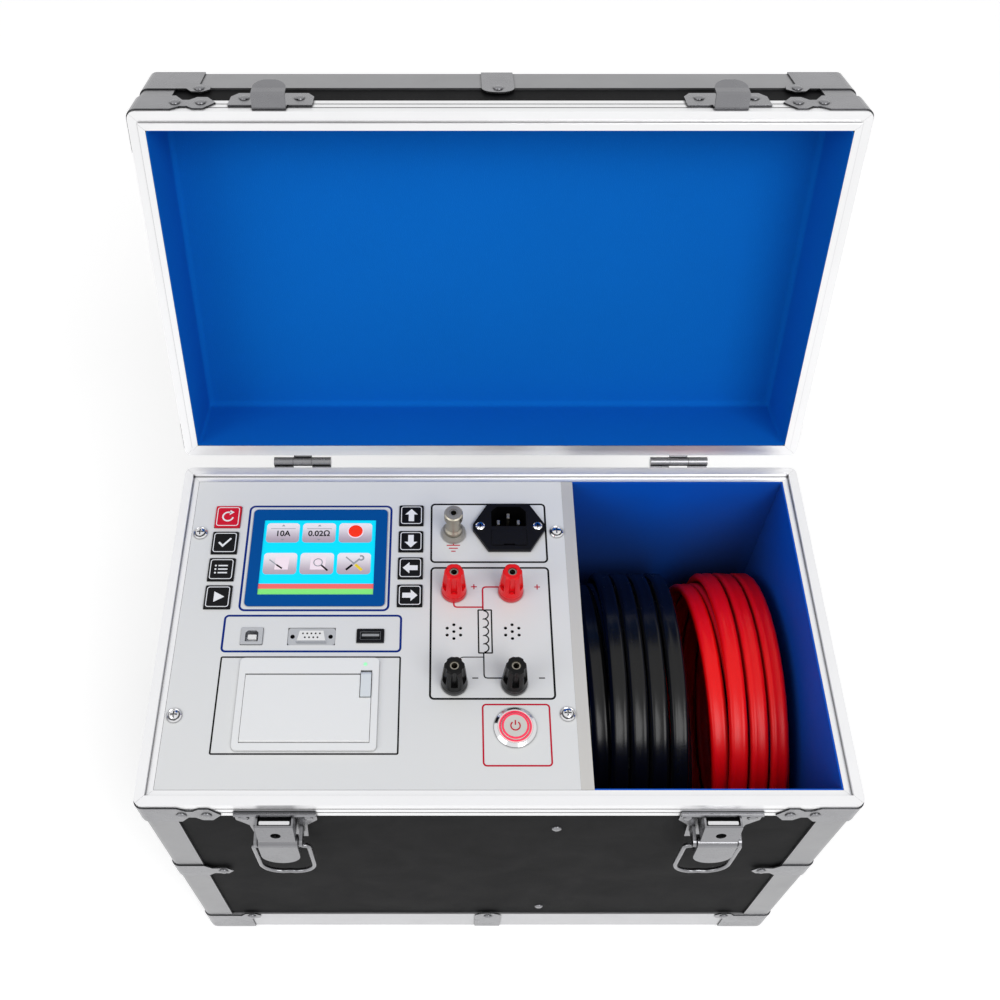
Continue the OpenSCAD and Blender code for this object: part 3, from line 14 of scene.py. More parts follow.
import bmesh
import bpy
import numpy as np
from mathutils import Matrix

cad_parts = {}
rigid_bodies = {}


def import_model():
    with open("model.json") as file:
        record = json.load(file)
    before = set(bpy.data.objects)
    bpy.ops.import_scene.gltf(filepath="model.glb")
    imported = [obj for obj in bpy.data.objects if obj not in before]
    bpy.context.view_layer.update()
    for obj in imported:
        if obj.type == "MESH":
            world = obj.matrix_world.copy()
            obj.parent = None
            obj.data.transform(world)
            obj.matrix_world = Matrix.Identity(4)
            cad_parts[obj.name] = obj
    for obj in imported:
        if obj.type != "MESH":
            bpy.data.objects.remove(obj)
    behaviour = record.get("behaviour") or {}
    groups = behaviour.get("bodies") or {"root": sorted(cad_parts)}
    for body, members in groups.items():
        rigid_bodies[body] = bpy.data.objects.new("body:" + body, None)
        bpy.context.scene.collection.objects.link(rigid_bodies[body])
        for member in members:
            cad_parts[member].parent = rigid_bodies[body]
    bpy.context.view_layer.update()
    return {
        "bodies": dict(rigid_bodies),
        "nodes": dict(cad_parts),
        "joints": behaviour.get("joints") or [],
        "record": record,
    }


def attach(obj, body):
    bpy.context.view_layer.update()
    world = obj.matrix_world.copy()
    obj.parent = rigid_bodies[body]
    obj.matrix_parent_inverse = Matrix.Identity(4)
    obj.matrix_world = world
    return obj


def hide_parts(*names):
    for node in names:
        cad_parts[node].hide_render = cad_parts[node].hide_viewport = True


Array = np.ndarray
Object = bpy.types.Object
Socket = bpy.types.NodeSocket
Tree = bpy.types.NodeTree
Point = tuple[float, float]
Triple = tuple[float, float, float]
Rings = Sequence[tuple[Array, float]]

log = logging.getLogger("tester")

MM = 0.001
PANEL_Z = 278.0
RIM_Z = 281.0
GRIP_TOP_Z = 157.5
EDGING_TOP_Z = 36.05
DIVIDER_CAP_Z = 265.95
SHARP_ANGLE = math.radians(32.0)
MERGE_DISTANCE = 1e-7
FULL_TURN = 2.0 * math.pi


def tone(red: int, green: int, blue: int) -> Triple:
    """A display colour of 0 to 255 as the linear colour that renders like it.

    Dark shares are divided by 12.92, and the others are eased by a power of 2.4, as the sRGB curve has it.

    Args:
        red: Red, 0 to 255.
        green: Green, 0 to 255.
        blue: Blue, 0 to 255.

    Returns:
        The three linear components.
    """
    shares = np.array([red, green, blue]) / 255.0
    linear = np.where(shares <= 0.04045, shares / 12.92, ((shares + 0.055) / 1.055) ** 2.4)
    return tuple(float(v) for v in linear)


def smooth_step(share: Array) -> Array:
    """Eases 0 to 1: three times the square less twice the cube, held outside that range."""
    share = np.clip(share, 0.0, 1.0)
    return share * share * (3.0 - 2.0 * share)


def unit(vectors: Array) -> Array:
    """Vectors, one a row, divided by their lengths."""
    return vectors / np.linalg.norm(vectors, axis=-1, keepdims=True)


def put(name: str, data: bpy.types.ID) -> Object:
    """Puts a mesh, curve, camera or lamp into the scene.

    Args:
        name: Name of the object.
        data: What it shows.

    Returns:
        The new object.
    """
    made = bpy.data.objects.new(name, data)
    bpy.context.scene.collection.objects.link(made)
    return made


# Outlines


def around(angles: Array) -> Array:
    """Points of the unit circle at some angles in radians."""
    return np.stack([np.cos(angles), np.sin(angles)], -1)


def rounded_rect(centre: Point, size: Point, radius: float, steps: int = 6) -> Array:
    """A rectangle whose corners are quarter circles, anticlockwise from the right.

    Args:
        centre: Middle of the rectangle.
        size: Width and depth.
        radius: Radius of the corners.
        steps: Chords in each corner.

    Returns:
        The outline's points, one row each.
    """
    turns = np.repeat(np.arange(4), steps + 1)
    angles = np.radians(90.0 * turns + np.tile(np.linspace(0.0, 90.0, steps + 1), 4))
    signs = np.array([[1, 1], [-1, 1], [-1, -1], [1, -1]])[turns]
    return np.array(centre) + signs * (np.array(size) / 2.0 - radius) + radius * around(angles)


def circle(centre: Point, radius: float, steps: int = 32) -> Array:
    """A circle's points, anticlockwise."""
    return np.array(centre) + radius * around(np.linspace(0.0, FULL_TURN, steps, endpoint=False))


def arc(centre: Point, radius: float, start: float, stop: float, steps: int = 24) -> Array:
    """Points of a circular arc from one angle to another, in degrees."""
    return np.array(centre) + radius * around(np.radians(np.linspace(start, stop, steps)))


def rounded_route(points: Sequence[Point], radius: float, steps: int = 5) -> Array:
    """A broken line whose inner corners are replaced by curves.

    Each corner becomes a quadratic curve from one radius before it to one radius after it.

    Args:
        points: Corners of the line.
        radius: Distance from a corner at which its curve starts.
        steps: Chords of each curve.

    Returns:
        The line's points.
    """
    line = np.array(points, float)
    t = np.linspace(0.0, 1.0, steps + 1)[:, None]
    route = [line[0]]
    for before, corner, after in zip(line, line[1:], line[2:]):
        start = corner + unit(before - corner) * radius
        stop = corner + unit(after - corner) * radius
        route.extend((1 - t) ** 2 * start + 2 * t * (1 - t) * corner + t * t * stop)
    return np.array([*route, line[-1]])


def thickened(points: Array, width: float, closed: bool) -> tuple[Array, Array]:
    """The two sides of a line of constant width.

    Each point moves along the mean of its neighbours' normals, lengthened at corners so that the width holds.

    Args:
        points: The middle line.
        width: Width of the line.
        closed: Whether the last point joins the first.

    Returns:
        The left side and the right side, a point each for every point of the line.
    """
    ahead = np.roll(points, -1, 0) - points
    behind = points - np.roll(points, 1, 0)
    if not closed:
        ahead[-1] = behind[-1]
        behind[0] = ahead[0]
    ahead, behind = unit(ahead), unit(behind)
    mean = unit(ahead + behind)
    normal = np.stack([-mean[:, 1], mean[:, 0]], -1)
    least_cosine = 0.4
    stretch = 1.0 / np.maximum(least_cosine, (mean * ahead).sum(1))
    offset = normal * (stretch * width / 2.0)[:, None]
    return points + offset, points - offset


# Meshes


def stacked(rings: Rings, axis: int = 0) -> Array:
    """Flat outlines at their heights, as one grid of points."""
    return np.stack([np.column_stack([ring, np.full(len(ring), height)]) for ring, height in rings], axis)


def grid_faces(rows: int, columns: int, wrap_rows: bool) -> list[list[int]]:
    """Quads of a grid of points stored row by row, whose last column joins the first.

    Args:
        rows: Number of rows.
        columns: Points in each row.
        wrap_rows: Whether the last row joins the first.

    Returns:
        Four numbers of points for each quad.
    """
    row, column = np.meshgrid(np.arange(rows - (not wrap_rows)), np.arange(columns), indexing="ij")
    row, above, beside = row * columns, (row + 1) % rows * columns, (column + 1) % columns
    corners = [row + column, row + beside, above + beside, above + column]
    return np.stack(corners, -1).reshape(-1, 4).tolist()


@dataclass
class Solid:
    """Closed shells gathered into one mesh, in millimetres, with heights measured from a base.

    Every shape returns the solid, so that calls chain.
    """

    base: float = 0.0
    points: list[Array] = field(default_factory=list)
    faces: list[list[int]] = field(default_factory=list)
    coords: list[Array] = field(default_factory=list)
    count: int = 0

    def surface(self, grid: Array, wrap_rows: bool = False, coords: Array | None = None) -> "Solid":
        """Adds a grid of points as a skin round which the columns run.

        Args:
            grid: Points by row and column.
            wrap_rows: Whether the last row joins the first; if not, flat caps close both.
            coords: A pair of pattern coordinates for each point, or none for zeros.

        Returns:
            The solid.
        """
        rows, columns = grid.shape[:2]
        faces = grid_faces(rows, columns, wrap_rows)
        if not wrap_rows:
            faces.append(list(range(columns))[::-1])
            faces.append(list(range((rows - 1) * columns, rows * columns)))
        self.faces.extend([v + self.count for v in face] for face in faces)
        self.points.append(grid.reshape(-1, 3))
        self.coords.append(np.zeros((rows * columns, 2)) if coords is None else coords.reshape(-1, 2))
        self.count += rows * columns
        return self

    def prism(self, outline: Array, low: float, high: float, edge: float = 0.0) -> "Solid":
        """Adds an outline drawn out upwards, each point of its top moved towards the middle by a chamfer.

        Args:
            outline: The outline's points.
            low: Height of the underside.
            high: Height of the top.
            edge: Size of the chamfer round the top.

        Returns:
            The solid.
        """
        rings = [(outline, low), (outline, high - edge)]
        if edge:
            centre = outline.mean(0)
            reach = np.linalg.norm(outline - centre, axis=1, keepdims=True)
            rings.append((centre + (outline - centre) * (1.0 - edge / reach), high))
        return self.surface(stacked(rings))

    def frame(self, outer: Array, inner: Array, low: float, high: float) -> "Solid":
        """Adds a flat frame between two outlines with the same number of points."""
        rings = [(outer, low), (outer, high), (inner, high), (inner, low)]
        return self.surface(stacked(rings), wrap_rows=True)

    def line(self, points: Array, width: float, low: float, high: float) -> "Solid":
        """Adds an open line of constant width as a flat strip."""
        left, right = thickened(points, width, closed=False)
        return self.surface(stacked([(left, low), (right, low), (right, high), (left, high)], 1))

    def loop(self, points: Array, width: float, low: float, high: float) -> "Solid":
        """Adds a closed line of constant width as a flat ring."""
        left, right = thickened(points, width, closed=True)
        return self.frame(right, left, low, high)

    def turned(self, profile: Sequence[Point], centre: Point, sides: int = 48) -> "Solid":
        """Adds a profile turned about an upright axis.

        Args:
            profile: Radius and height pairs. It starts and ends on the axis, or closes on itself.
            centre: Place of the axis.
            sides: Points round the axis.

        Returns:
            The solid.
        """
        rings = [(circle(centre, radius, sides), height) for radius, height in profile]
        return self.surface(stacked(rings), wrap_rows=min(profile)[0] > 0.0)

    def make(self, name: str, finish: "Finishes", body: str = "case", smooth: bool = True) -> Object:
        """Makes the mesh, faces outwards, and lets it ride on a body.

        Args:
            name: Name of the piece.
            finish: Its finish.
            body: CAD body that it rides on.
            smooth: Whether curved faces are shaded smooth.

        Returns:
            The finished object.
        """
        mesh = bpy.data.meshes.new(name)
        places = np.concatenate(self.points) + [0.0, 0.0, self.base]
        mesh.from_pydata((places * MM).tolist(), [], self.faces)
        layer = mesh.uv_layers.new(name="pattern")
        corner = np.zeros(len(mesh.loops), int)
        mesh.loops.foreach_get("vertex_index", corner)
        layer.data.foreach_set("uv", np.concatenate(self.coords)[corner].astype(np.float32).ravel())
        work = bmesh.new()
        work.from_mesh(mesh)
        bmesh.ops.remove_doubles(work, verts=work.verts, dist=MERGE_DISTANCE)
        bmesh.ops.recalc_face_normals(work, faces=work.faces)
        work.to_mesh(mesh)
        work.free()
        mesh.polygons.foreach_set("use_smooth", np.full(len(mesh.polygons), smooth))
        if smooth:
            mesh.set_sharp_from_angle(angle=SHARP_ANGLE)
        mesh.materials.append(finish.material)
        piece = put(name, mesh)
        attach(piece, body)
        log.info("%s rides on %s, %d faces", name, body, len(mesh.polygons))
        return piece


# Shader groups


@dataclass
class Wiring:
    """Short calls for building a node tree."""

    tree: Tree

    def feed(self, target: Socket, value: object) -> None:
        """Joins a socket to the target, or sets the target to a constant.

        Args:
            target: Input that takes the value.
            value: A socket, number or vector, or the three linear components of a colour.
        """
        if isinstance(value, Socket):
            self.tree.links.new(value, target)
        else:
            target.default_value = (*value, 1.0) if target.type == "RGBA" and len(value) == 3 else value

    def node(self, kind: str, **values: object) -> bpy.types.Node:
        """Makes a node.

        Args:
            kind: The node's type.
            values: Its properties, or what feeds its inputs, by name with a low line for each space.

        Returns:
            The node.
        """
        made = self.tree.nodes.new(kind)
        for key, value in values.items():
            if hasattr(made, key):
                setattr(made, key, value)
            else:
                self.feed(made.inputs[key.replace("_", " ")], value)
        return made

    def math(self, operation: str, first: object, second: object = 0.0) -> Socket:
        """A math node over two sockets or numbers.

        Args:
            operation: The node's operation.
            first: Socket or number.
            second: Socket or number.

        Returns:
            The node's result.
        """
        made = self.node("ShaderNodeMath", operation=operation)
        for target, value in zip(made.inputs, (first, second)):
            self.feed(target, value)
        return made.outputs[0]

    def blend(self, share: object, first: object, second: object) -> Socket:
        """A colour that goes from a first to a second one as a share goes from 0 to 1.

        Args:
            share: Socket or number.
            first: Socket or colour.
            second: Socket or colour.

        Returns:
            The mixed colour.
        """
        made = self.node("ShaderNodeMix", data_type="RGBA")
        for place, value in ((0, share), (6, first), (7, second)):
            self.feed(made.inputs[place], value)
        return made.outputs[2]


def node_group(name: str, output: str, **inputs: float | Triple | None) -> tuple[Wiring, object, Socket]:
    """A shader group that gives out one socket.

    Args:
        name: Name of the group.
        output: Name of the output.
        inputs: The default of each input: a number, a vector, a colour where the label says so, or none.

    Returns:
        The group's wiring, the sockets of its inputs by name and the socket that takes its result.
    """
    tree = bpy.data.node_groups.new(name, "ShaderNodeTree")
    colours = ("Colour", "Fleck")
    make = tree.interface.new_socket
    for label, default in inputs.items():
        kind = "Color" if label in colours else "Float" if isinstance(default, float) else "Vector"
        socket = make(label.replace("_", " "), in_out="INPUT", socket_type=f"NodeSocket{kind}")
        if default is not None:
            socket.default_value = (*default, 1.0) if kind == "Color" else default
    make(output, in_out="OUTPUT", socket_type="NodeSocketColor" if output in colours else "NodeSocketFloat")
    source, sink = tree.nodes.new("NodeGroupInput"), tree.nodes.new("NodeGroupOutput")
    return Wiring(tree), source.outputs, sink.inputs[output]


@cache
def grain_group() -> Tree:
    """Fine relief for brushed lines, moulded grain or felt: noise of the stretched place, from 0 to 1.

    Returns:
        The group's node tree.
    """
    w, given, result = node_group("surface grain", "Height", Vector=None, Stretch=(1.0, 1.0, 1.0),
                                  Scale=500.0)
    stretch = w.node("ShaderNodeVectorMath", operation="MULTIPLY")
    w.feed(stretch.inputs[0], given["Vector"])
    w.feed(stretch.inputs[1], given["Stretch"])
    noise = w.node("ShaderNodeTexNoise", Vector=stretch.outputs[0], Scale=given["Scale"], Detail=3.0)
    w.feed(result, noise.outputs["Fac"])
    return w.tree


@cache
def mottle_group() -> Tree:
    """Slow variation of a colour: brighter and darker patches, and fine flecks of a second colour.

    The brightness is one plus twice the amount times the patch noise less a half. The flecks' share rises
    where a finer noise passes from the lower to the upper threshold.

    Returns:
        The group's node tree.
    """
    w, given, result = node_group(
        "mottle", "Colour", Vector=None, Colour=(0.5, 0.5, 0.5), Fleck=(0.8, 0.8, 0.8), Amount=0.1,
        Patch_Scale=12.0, Fleck_Scale=900.0, Fleck_Share=0.0)
    patch = w.node("ShaderNodeTexNoise", Detail=4.0, Roughness=0.6, Vector=given["Vector"],
                   Scale=given["Patch Scale"])
    change = w.math("MULTIPLY", w.math("SUBTRACT", patch.outputs["Fac"], 0.5), given["Amount"])
    value = w.math("ADD", w.math("MULTIPLY", change, 2.0), 1.0)
    hue = w.node("ShaderNodeHueSaturation", Color=given["Colour"], Value=value)
    fleck = w.node("ShaderNodeTexNoise", Detail=2.0, Vector=given["Vector"], Scale=given["Fleck Scale"])
    sharp = w.node("ShaderNodeMapRange", From_Min=0.56, From_Max=0.72, Value=fleck.outputs["Fac"])
    share = w.math("MULTIPLY", sharp.outputs["Result"], given["Fleck Share"])
    w.feed(result, w.blend(share, hue.outputs["Color"], given["Fleck"]))
    return w.tree


@cache
def handling_group() -> Tree:
    """Roughness that varies as a handled surface does: smears and fine scuffs about a mean.

    It is the mean plus twice the amount times the smear noise less a half, held between 0 and 1.

    Returns:
        The group's node tree.
    """
    w, given, result = node_group("handling", "Roughness", Vector=None, Roughness=0.4, Amount=0.1, Scale=30.0)
    smear = w.node("ShaderNodeTexNoise", Detail=5.0, Roughness=0.65, Distortion=0.6, Vector=given["Vector"],
                   Scale=given["Scale"])
    swing = w.math("MULTIPLY", w.math("SUBTRACT", smear.outputs["Fac"], 0.5), given["Amount"])
    limit = w.node("ShaderNodeClamp")
    w.feed(limit.inputs["Value"], w.math("ADD", given["Roughness"], w.math("MULTIPLY", swing, 2.0)))
    w.feed(result, limit.outputs[0])
    return w.tree


# Finishes


class Pattern(Enum):
    """What a finish's patterns follow."""

    OBJECT = "Object"
    UV = "UV"


@dataclass(frozen=True)
class Grain:
    """Fine relief: scale of its noise, height in metres, strength, and stretch along each axis."""

    scale: float = 700.0
    height: float = 0.00002
    strength: float = 0.25
    stretch: Triple = (1.0, 1.0, 1.0)


@dataclass(frozen=True)
class Fleck:
    """Fine flecks: their colour, share and scale."""

    colour: Triple = (0.8, 0.8, 0.8)
    share: float = 0.0
    scale: float = 900.0


@dataclass(frozen=True)
class Finish:
    """One finish: a Principled shader with mottled colour, painted shade in its creases, handled roughness
    and fine relief.

    Patches and smears have an amount and a scale, the painted shade in creases has a strength and a reach in
    millimetres, and nodes names the CAD nodes that wear the finish.
    """

    name: str
    colour: Triple
    nodes: str = ""
    roughness: float = 0.45
    metallic: float = 0.0
    specular: float = 0.5
    coat: float = 0.0
    glow: float = 0.0
    patches: Point = (0.04, 14.0)
    smears: Point = (0.06, 25.0)
    crease_shade: Point = (0.0, 1.6)
    fleck: Fleck = Fleck()
    grain: Grain = Grain()
    pattern: Pattern = Pattern.OBJECT
    coat_roughness: float = 0.08
    crease_shade_limit: float = 0.92
    crease_shade_colour: Triple = (0.02, 0.02, 0.022)

    def build(self) -> bpy.types.Material:
        """Builds the material, or finds it where it is built already.

        Returns:
            The material of this finish.
        """
        known = bpy.data.materials.get(self.name)
        if known:
            return known
        material = bpy.data.materials.new(self.name)
        material.use_nodes = True
        w = Wiring(material.node_tree)
        place = w.node("ShaderNodeTexCoord").outputs[self.pattern.value]

        def group(tree: Tree, **values: object) -> Socket:
            """What a shared group gives out at the pattern's place."""
            return w.node("ShaderNodeGroup", node_tree=tree, Vector=place, **values).outputs[0]

        fleck, grain = self.fleck, self.grain
        mottled = group(mottle_group(), Colour=self.colour, Fleck=fleck.colour, Amount=self.patches[0],
                        Patch_Scale=self.patches[1], Fleck_Scale=fleck.scale, Fleck_Share=fleck.share)
        colour = self.paint_crease_shade(w, self.tint(w, place, mottled))
        handled = group(handling_group(), Roughness=self.roughness, Amount=self.smears[0],
                        Scale=self.smears[1])
        relief = group(grain_group(), Stretch=grain.stretch, Scale=grain.scale)
        bump = w.node("ShaderNodeBump", Strength=grain.strength, Distance=grain.height, Height=relief)
        values = {"Base Color": colour, "Roughness": handled, "Normal": bump.outputs["Normal"],
                  "Metallic": self.metallic, "Specular IOR Level": self.specular, "Coat Weight": self.coat,
                  "Coat Roughness": self.coat_roughness}
        if self.glow:
            values |= {"Emission Color": colour, "Emission Strength": self.glow}
        for label, value in values.items():
            w.feed(material.node_tree.nodes["Principled BSDF"].inputs[label], value)
        return material

    def tint(self, w: Wiring, place: Socket, colour: Socket) -> Socket:
        """Changes the mottled colour from place to place; a plain finish leaves it."""
        return colour

    def paint_crease_shade(self, w: Wiring, colour: Socket) -> Socket:
        """Paints shade into the colour of grooves, folds and seats, where the real ones fall into shade.

        The share of painted shade is one less the open sky within reach, times its strength, up to a limit.

        Args:
            w: The material's wiring.
            colour: Colour before the creases.

        Returns:
            The colour with painted shade, or the same one where the finish has no creases.
        """
        strength, reach = self.crease_shade
        if not strength:
            return colour
        # Painted shade: the less open sky round a point, the darker its base colour.
        sky = w.node("ShaderNodeAmbientOcclusion", samples=8, Distance=reach * MM)
        depth = w.math("SUBTRACT", 1.0, sky.outputs["AO"])
        share = w.math("MINIMUM", w.math("MULTIPLY", depth, strength), self.crease_shade_limit)
        return w.blend(share, colour, self.crease_shade_colour)


@dataclass(frozen=True)
class BandedFinish(Finish):
    """A finish whose colour steps along one axis, for one node that holds pieces of several colours."""

    axis: int = 1
    steps: tuple[tuple[float, Triple], ...] = ()

    def tint(self, w: Wiring, place: Socket, colour: Socket) -> Socket:
        """Takes each step's colour beyond its place along the axis, in millimetres.

        Args:
            w: The material's wiring.
            place: Coordinates that the pattern follows.
            colour: The mottled colour.

        Returns:
            The banded colour.
        """
        split = w.node("ShaderNodeSeparateXYZ", Vector=place)
        for edge, shade in self.steps:
            colour = w.blend(w.math("GREATER_THAN", split.outputs[self.axis], edge * MM), colour, shade)
        return colour


@dataclass(frozen=True)
class FadedFinish(Finish):
    """A finish that runs from its own colour to a second one along the pattern's second coordinate."""

    far: Triple = (0.5, 0.5, 0.5)

    def tint(self, w: Wiring, place: Socket, colour: Socket) -> Socket:
        """Mixes the two colours by the second coordinate, eased from 0 to 1.

        Args:
            w: The material's wiring.
            place: Coordinates that the pattern follows.
            colour: The mottled colour.

        Returns:
            The faded colour.
        """
        split = w.node("ShaderNodeSeparateXYZ", Vector=place)
        ramp = w.node("ShaderNodeMapRange", interpolation_type="SMOOTHSTEP", Value=split.outputs[1])
        return w.blend(ramp.outputs["Result"], colour, self.far)


def ink(name: str, colour: Triple) -> Finish:
    """A matt printing ink."""
    return Finish(name, colour, roughness=0.5, specular=0.05, patches=(0.02, 14.0))


def lit(name: str, colour: Triple, roughness: float, glow: float, coat: float = 0.0) -> Finish:
    """A part of the screen, a lens or a lamp, with some light of its own, or a painted highlight that glows
    faintly.
    """
    return Finish(name, colour, roughness=roughness, coat=coat, glow=glow)


def cable(name: str, colour: Triple, roughness: float, amount: float, crease_shade: float) -> Finish:
    """A cable's sheath, patterned along its length, with painted shade between its turns."""
    return Finish(name, colour, roughness=roughness, specular=0.3, crease_shade=(crease_shade, 4.0),
                  patches=(amount, 3.0), smears=(0.08, 8.0), grain=Grain(90.0, 0.00003), pattern=Pattern.UV)


class Finishes(Enum):
    """Every finish of the tester. Where a finish has creases, shade is painted into their colour."""

    LAMINATE = Finish("black laminate", tone(19, 19, 20), "case_walls lid_boards", 0.62, specular=0.05,
                      fleck=Fleck(tone(44, 44, 46), 0.3, 1400.0), smears=(0.1, 25.0),
                      grain=Grain(1500.0, 0.0002, 0.6))
    RIM = Finish("brushed aluminium rim", tone(240, 240, 241), "base_rim lid_rim", 0.36, metallic=0.85,
                 patches=(0.03, 14.0), smears=(0.08, 25.0), crease_shade=(1.5, 1.6),
                 grain=Grain(60.0, 0.00005, 0.2, (1.0, 1.0, 40.0)))
    EDGING = BandedFinish("brushed aluminium edging", tone(190, 190, 192),
                          "base_edging lid_edging panel_rails power_supply current_module", 0.33,
                          axis=2, steps=((EDGING_TOP_Z, tone(142, 142, 144)),), metallic=0.9,
                          patches=(0.06, 14.0), smears=(0.1, 25.0), crease_shade=(1.3, 1.6),
                          grain=Grain(60.0, 0.00005, 0.25, (40.0, 40.0, 1.0)))
    # Painted shade in the creases draws dark outlines round the brackets, hinges and rivets.
    ZINC = Finish("plated steel", tone(134, 134, 137),
                  "base_brackets lid_brackets base_hinge_leaves lid_hinge_leaves latch_plates catch_plates"
                  " handle_plates left_latch_lever right_latch_lever left_latch_bail right_latch_bail", 0.26,
                  metallic=1.0, patches=(0.12, 40.0), smears=(0.14, 60.0), crease_shade=(2.6, 2.0),
                  grain=Grain(900.0, 0.00004, 0.3))
    CHROME = Finish("polished plating", tone(222, 222, 224), "panel_screws power_switch_body", 0.12,
                    metallic=1.0, patches=(0.03, 14.0), crease_shade=(1.5, 1.6))
    NICKEL = Finish("nickel plated stud", tone(176, 170, 156), "terminal_studs earth_cap", 0.34,
                    metallic=1.0, patches=(0.05, 14.0), smears=(0.08, 25.0), crease_shade=(1.6, 1.6))
    PLYWOOD = Finish("plywood", tone(176, 142, 98), "case_floor", 0.7, patches=(0.2, 14.0),
                     grain=Grain(90.0, 0.0002, 0.5, (1.0, 14.0, 14.0)))
    RUBBER = Finish("foot rubber", tone(30, 30, 31), "rubber_feet", 0.75, grain=Grain(900.0, 0.0001))
    HANDLE = BandedFinish("side handle, a rubber grip on grey arms", tone(28, 28, 29),
                          "left_handle right_handle", 0.5, specular=0.3, crease_shade=(1.2, 1.6),
                          grain=Grain(700.0, 0.00006), axis=2, steps=((GRIP_TOP_Z, tone(128, 128, 131)),))
    DIVIDER = BandedFinish("grey divider with its bright cap", tone(96, 98, 104), "divider", 0.5,
                           metallic=0.3, crease_shade=(1.6, 2.0), axis=2,
                           steps=((DIVIDER_CAP_Z, tone(206, 204, 200)),))
    # A long reach paints shade over the lining's deep walls and the floor round the coils.
    LINING = Finish("blue lining board", tone(3, 94, 214), "compartment_liner", 0.6, specular=0.1,
                    crease_shade=(0.8, 70.0), patches=(0.12, 9.0), smears=(0.12, 25.0),
                    grain=Grain(800.0, 0.00012, 0.4))
    FELT = Finish("blue felt", tone(6, 103, 196), roughness=0.9, specular=0.05, patches=(0.06, 7.0),
                  fleck=Fleck(tone(14, 120, 212), 0.25, 1100.0), grain=Grain(1300.0, 0.0003, 0.5))
    PANEL = Finish("panel paint", tone(230, 231, 231), "instrument_panel", 0.4, specular=0.3,
                   crease_shade=(0.9, 1.2), patches=(0.012, 5.0), smears=(0.05, 25.0), grain=Grain(1200.0, 0.00004))
    SCREEN_FILM = Finish("blue screen film", tone(2, 82, 158), "screen_bezel", 0.45, specular=0.07,
                         patches=(0.03, 14.0), crease_shade=(0.8, 1.6))
    SCREEN = Finish("screen", tone(10, 218, 250), "display_module", 0.3, specular=0.1, patches=(0.01, 14.0),
                    glow=0.3)
    SCREEN_RED = lit("screen red", tone(250, 98, 96), 0.2, 0.15, 0.3)
    SCREEN_GREEN = lit("screen green", tone(126, 238, 118), 0.2, 0.15, 0.3)
    TILE = FadedFinish("screen tile", tone(184, 168, 180), roughness=0.22, coat=0.3, glow=0.1,
                       patches=(0.0, 14.0), pattern=Pattern.UV, far=tone(252, 246, 250))
    DOT = lit("screen dot", tone(255, 52, 8), 0.25, 0.2)
    PAPER_ICON = lit("screen paper", tone(250, 232, 240), 0.3, 0.15)
    YELLOW_ICON = lit("screen yellow", tone(244, 214, 30), 0.3, 0.15)
    STEEL_ICON = lit("screen steel", tone(150, 155, 162), 0.3, 0.1)
    BOARD = Finish("circuit board", tone(12, 96, 52), "control_board", 0.35, coat=0.2,
                   fleck=Fleck(tone(180, 150, 60), 0.2, 500.0))
    PORTS = BandedFinish("socket shells", tone(186, 188, 192), "data_ports", 0.3, metallic=0.9, axis=0,
                         steps=((-95.0, tone(150, 152, 156)),))
    PRINTER = Finish("white printer plastic", tone(240, 241, 241), "printer_frame printer_door", 0.42,
                     specular=0.3, patches=(0.012, 14.0), crease_shade=(0.8, 1.6),
                     grain=Grain(1600.0, 0.00005, 0.3))
    LEVER = Finish("pale lever plastic", tone(222, 228, 232), "printer_lever", 0.25, coat=0.3,
                   patches=(0.02, 14.0))
    PAPER = Finish("thermal paper", tone(240, 240, 236), "paper_roll", 0.8, grain=Grain(1500.0))
    COLLARS = BandedFinish("post collars", tone(22, 22, 24), "terminal_collars", 0.3, coat=0.3,
                           steps=((0.0, tone(206, 14, 26)), (50.0, tone(150, 148, 142))))
    RED_CAP = Finish("red moulded cap", tone(236, 10, 22), "v_plus_cap i_plus_cap", 0.3, specular=0.2,
                     coat=0.06, crease_shade=(0.7, 1.6), grain=Grain(1500.0, 0.00003))
    BLACK_CAP = Finish("black moulded cap", tone(12, 12, 13), "v_minus_cap i_minus_cap", 0.3, specular=0.12,
                       coat=0.04, patches=(0.08, 14.0), grain=Grain(1500.0, 0.00003))
    INLET = Finish("black inlet moulding", tone(16, 16, 20), "power_inlet fuse_drawer", 0.4, specular=0.12,
                   grain=Grain(1500.0, 0.00005))
    KEY_RED = Finish("red key", tone(216, 18, 48), "left_key_1", 0.35, specular=0.2)
    KEY_BLACK = Finish("black key", tone(12, 12, 14), "left_key_2 left_key_3 left_key_4 right_key_1"
                       " right_key_2 right_key_3 right_key_4", 0.35, specular=0.15)
    INK_BLACK = ink("black print", tone(10, 10, 12))
    INK_BLUE = ink("blue print", tone(12, 44, 128))
    INK_RED = ink("red print", tone(200, 14, 50))
    INK_WHITE = Finish("white print", tone(245, 246, 248), roughness=0.4, patches=(0.0, 14.0))
    BUTTON = Finish("grey button disc", tone(214, 212, 206), "power_button", 0.35, coat=0.2)
    RING_RED = lit("lit red ring", tone(240, 48, 84), 0.25, 0.25, 0.3)
    # A thin pale ring round the switch's lens: a painted highlight, with a faint glow.
    RING_HIGHLIGHT = lit("painted lens highlight", tone(250, 214, 214), 0.2, 0.05, 0.4)
    GREEN_LAMP = lit("green lamp", tone(140, 250, 170), 0.2, 0.5, 0.4)
    WHITE_INSERT = Finish("white socket insert", tone(238, 238, 236), roughness=0.4)
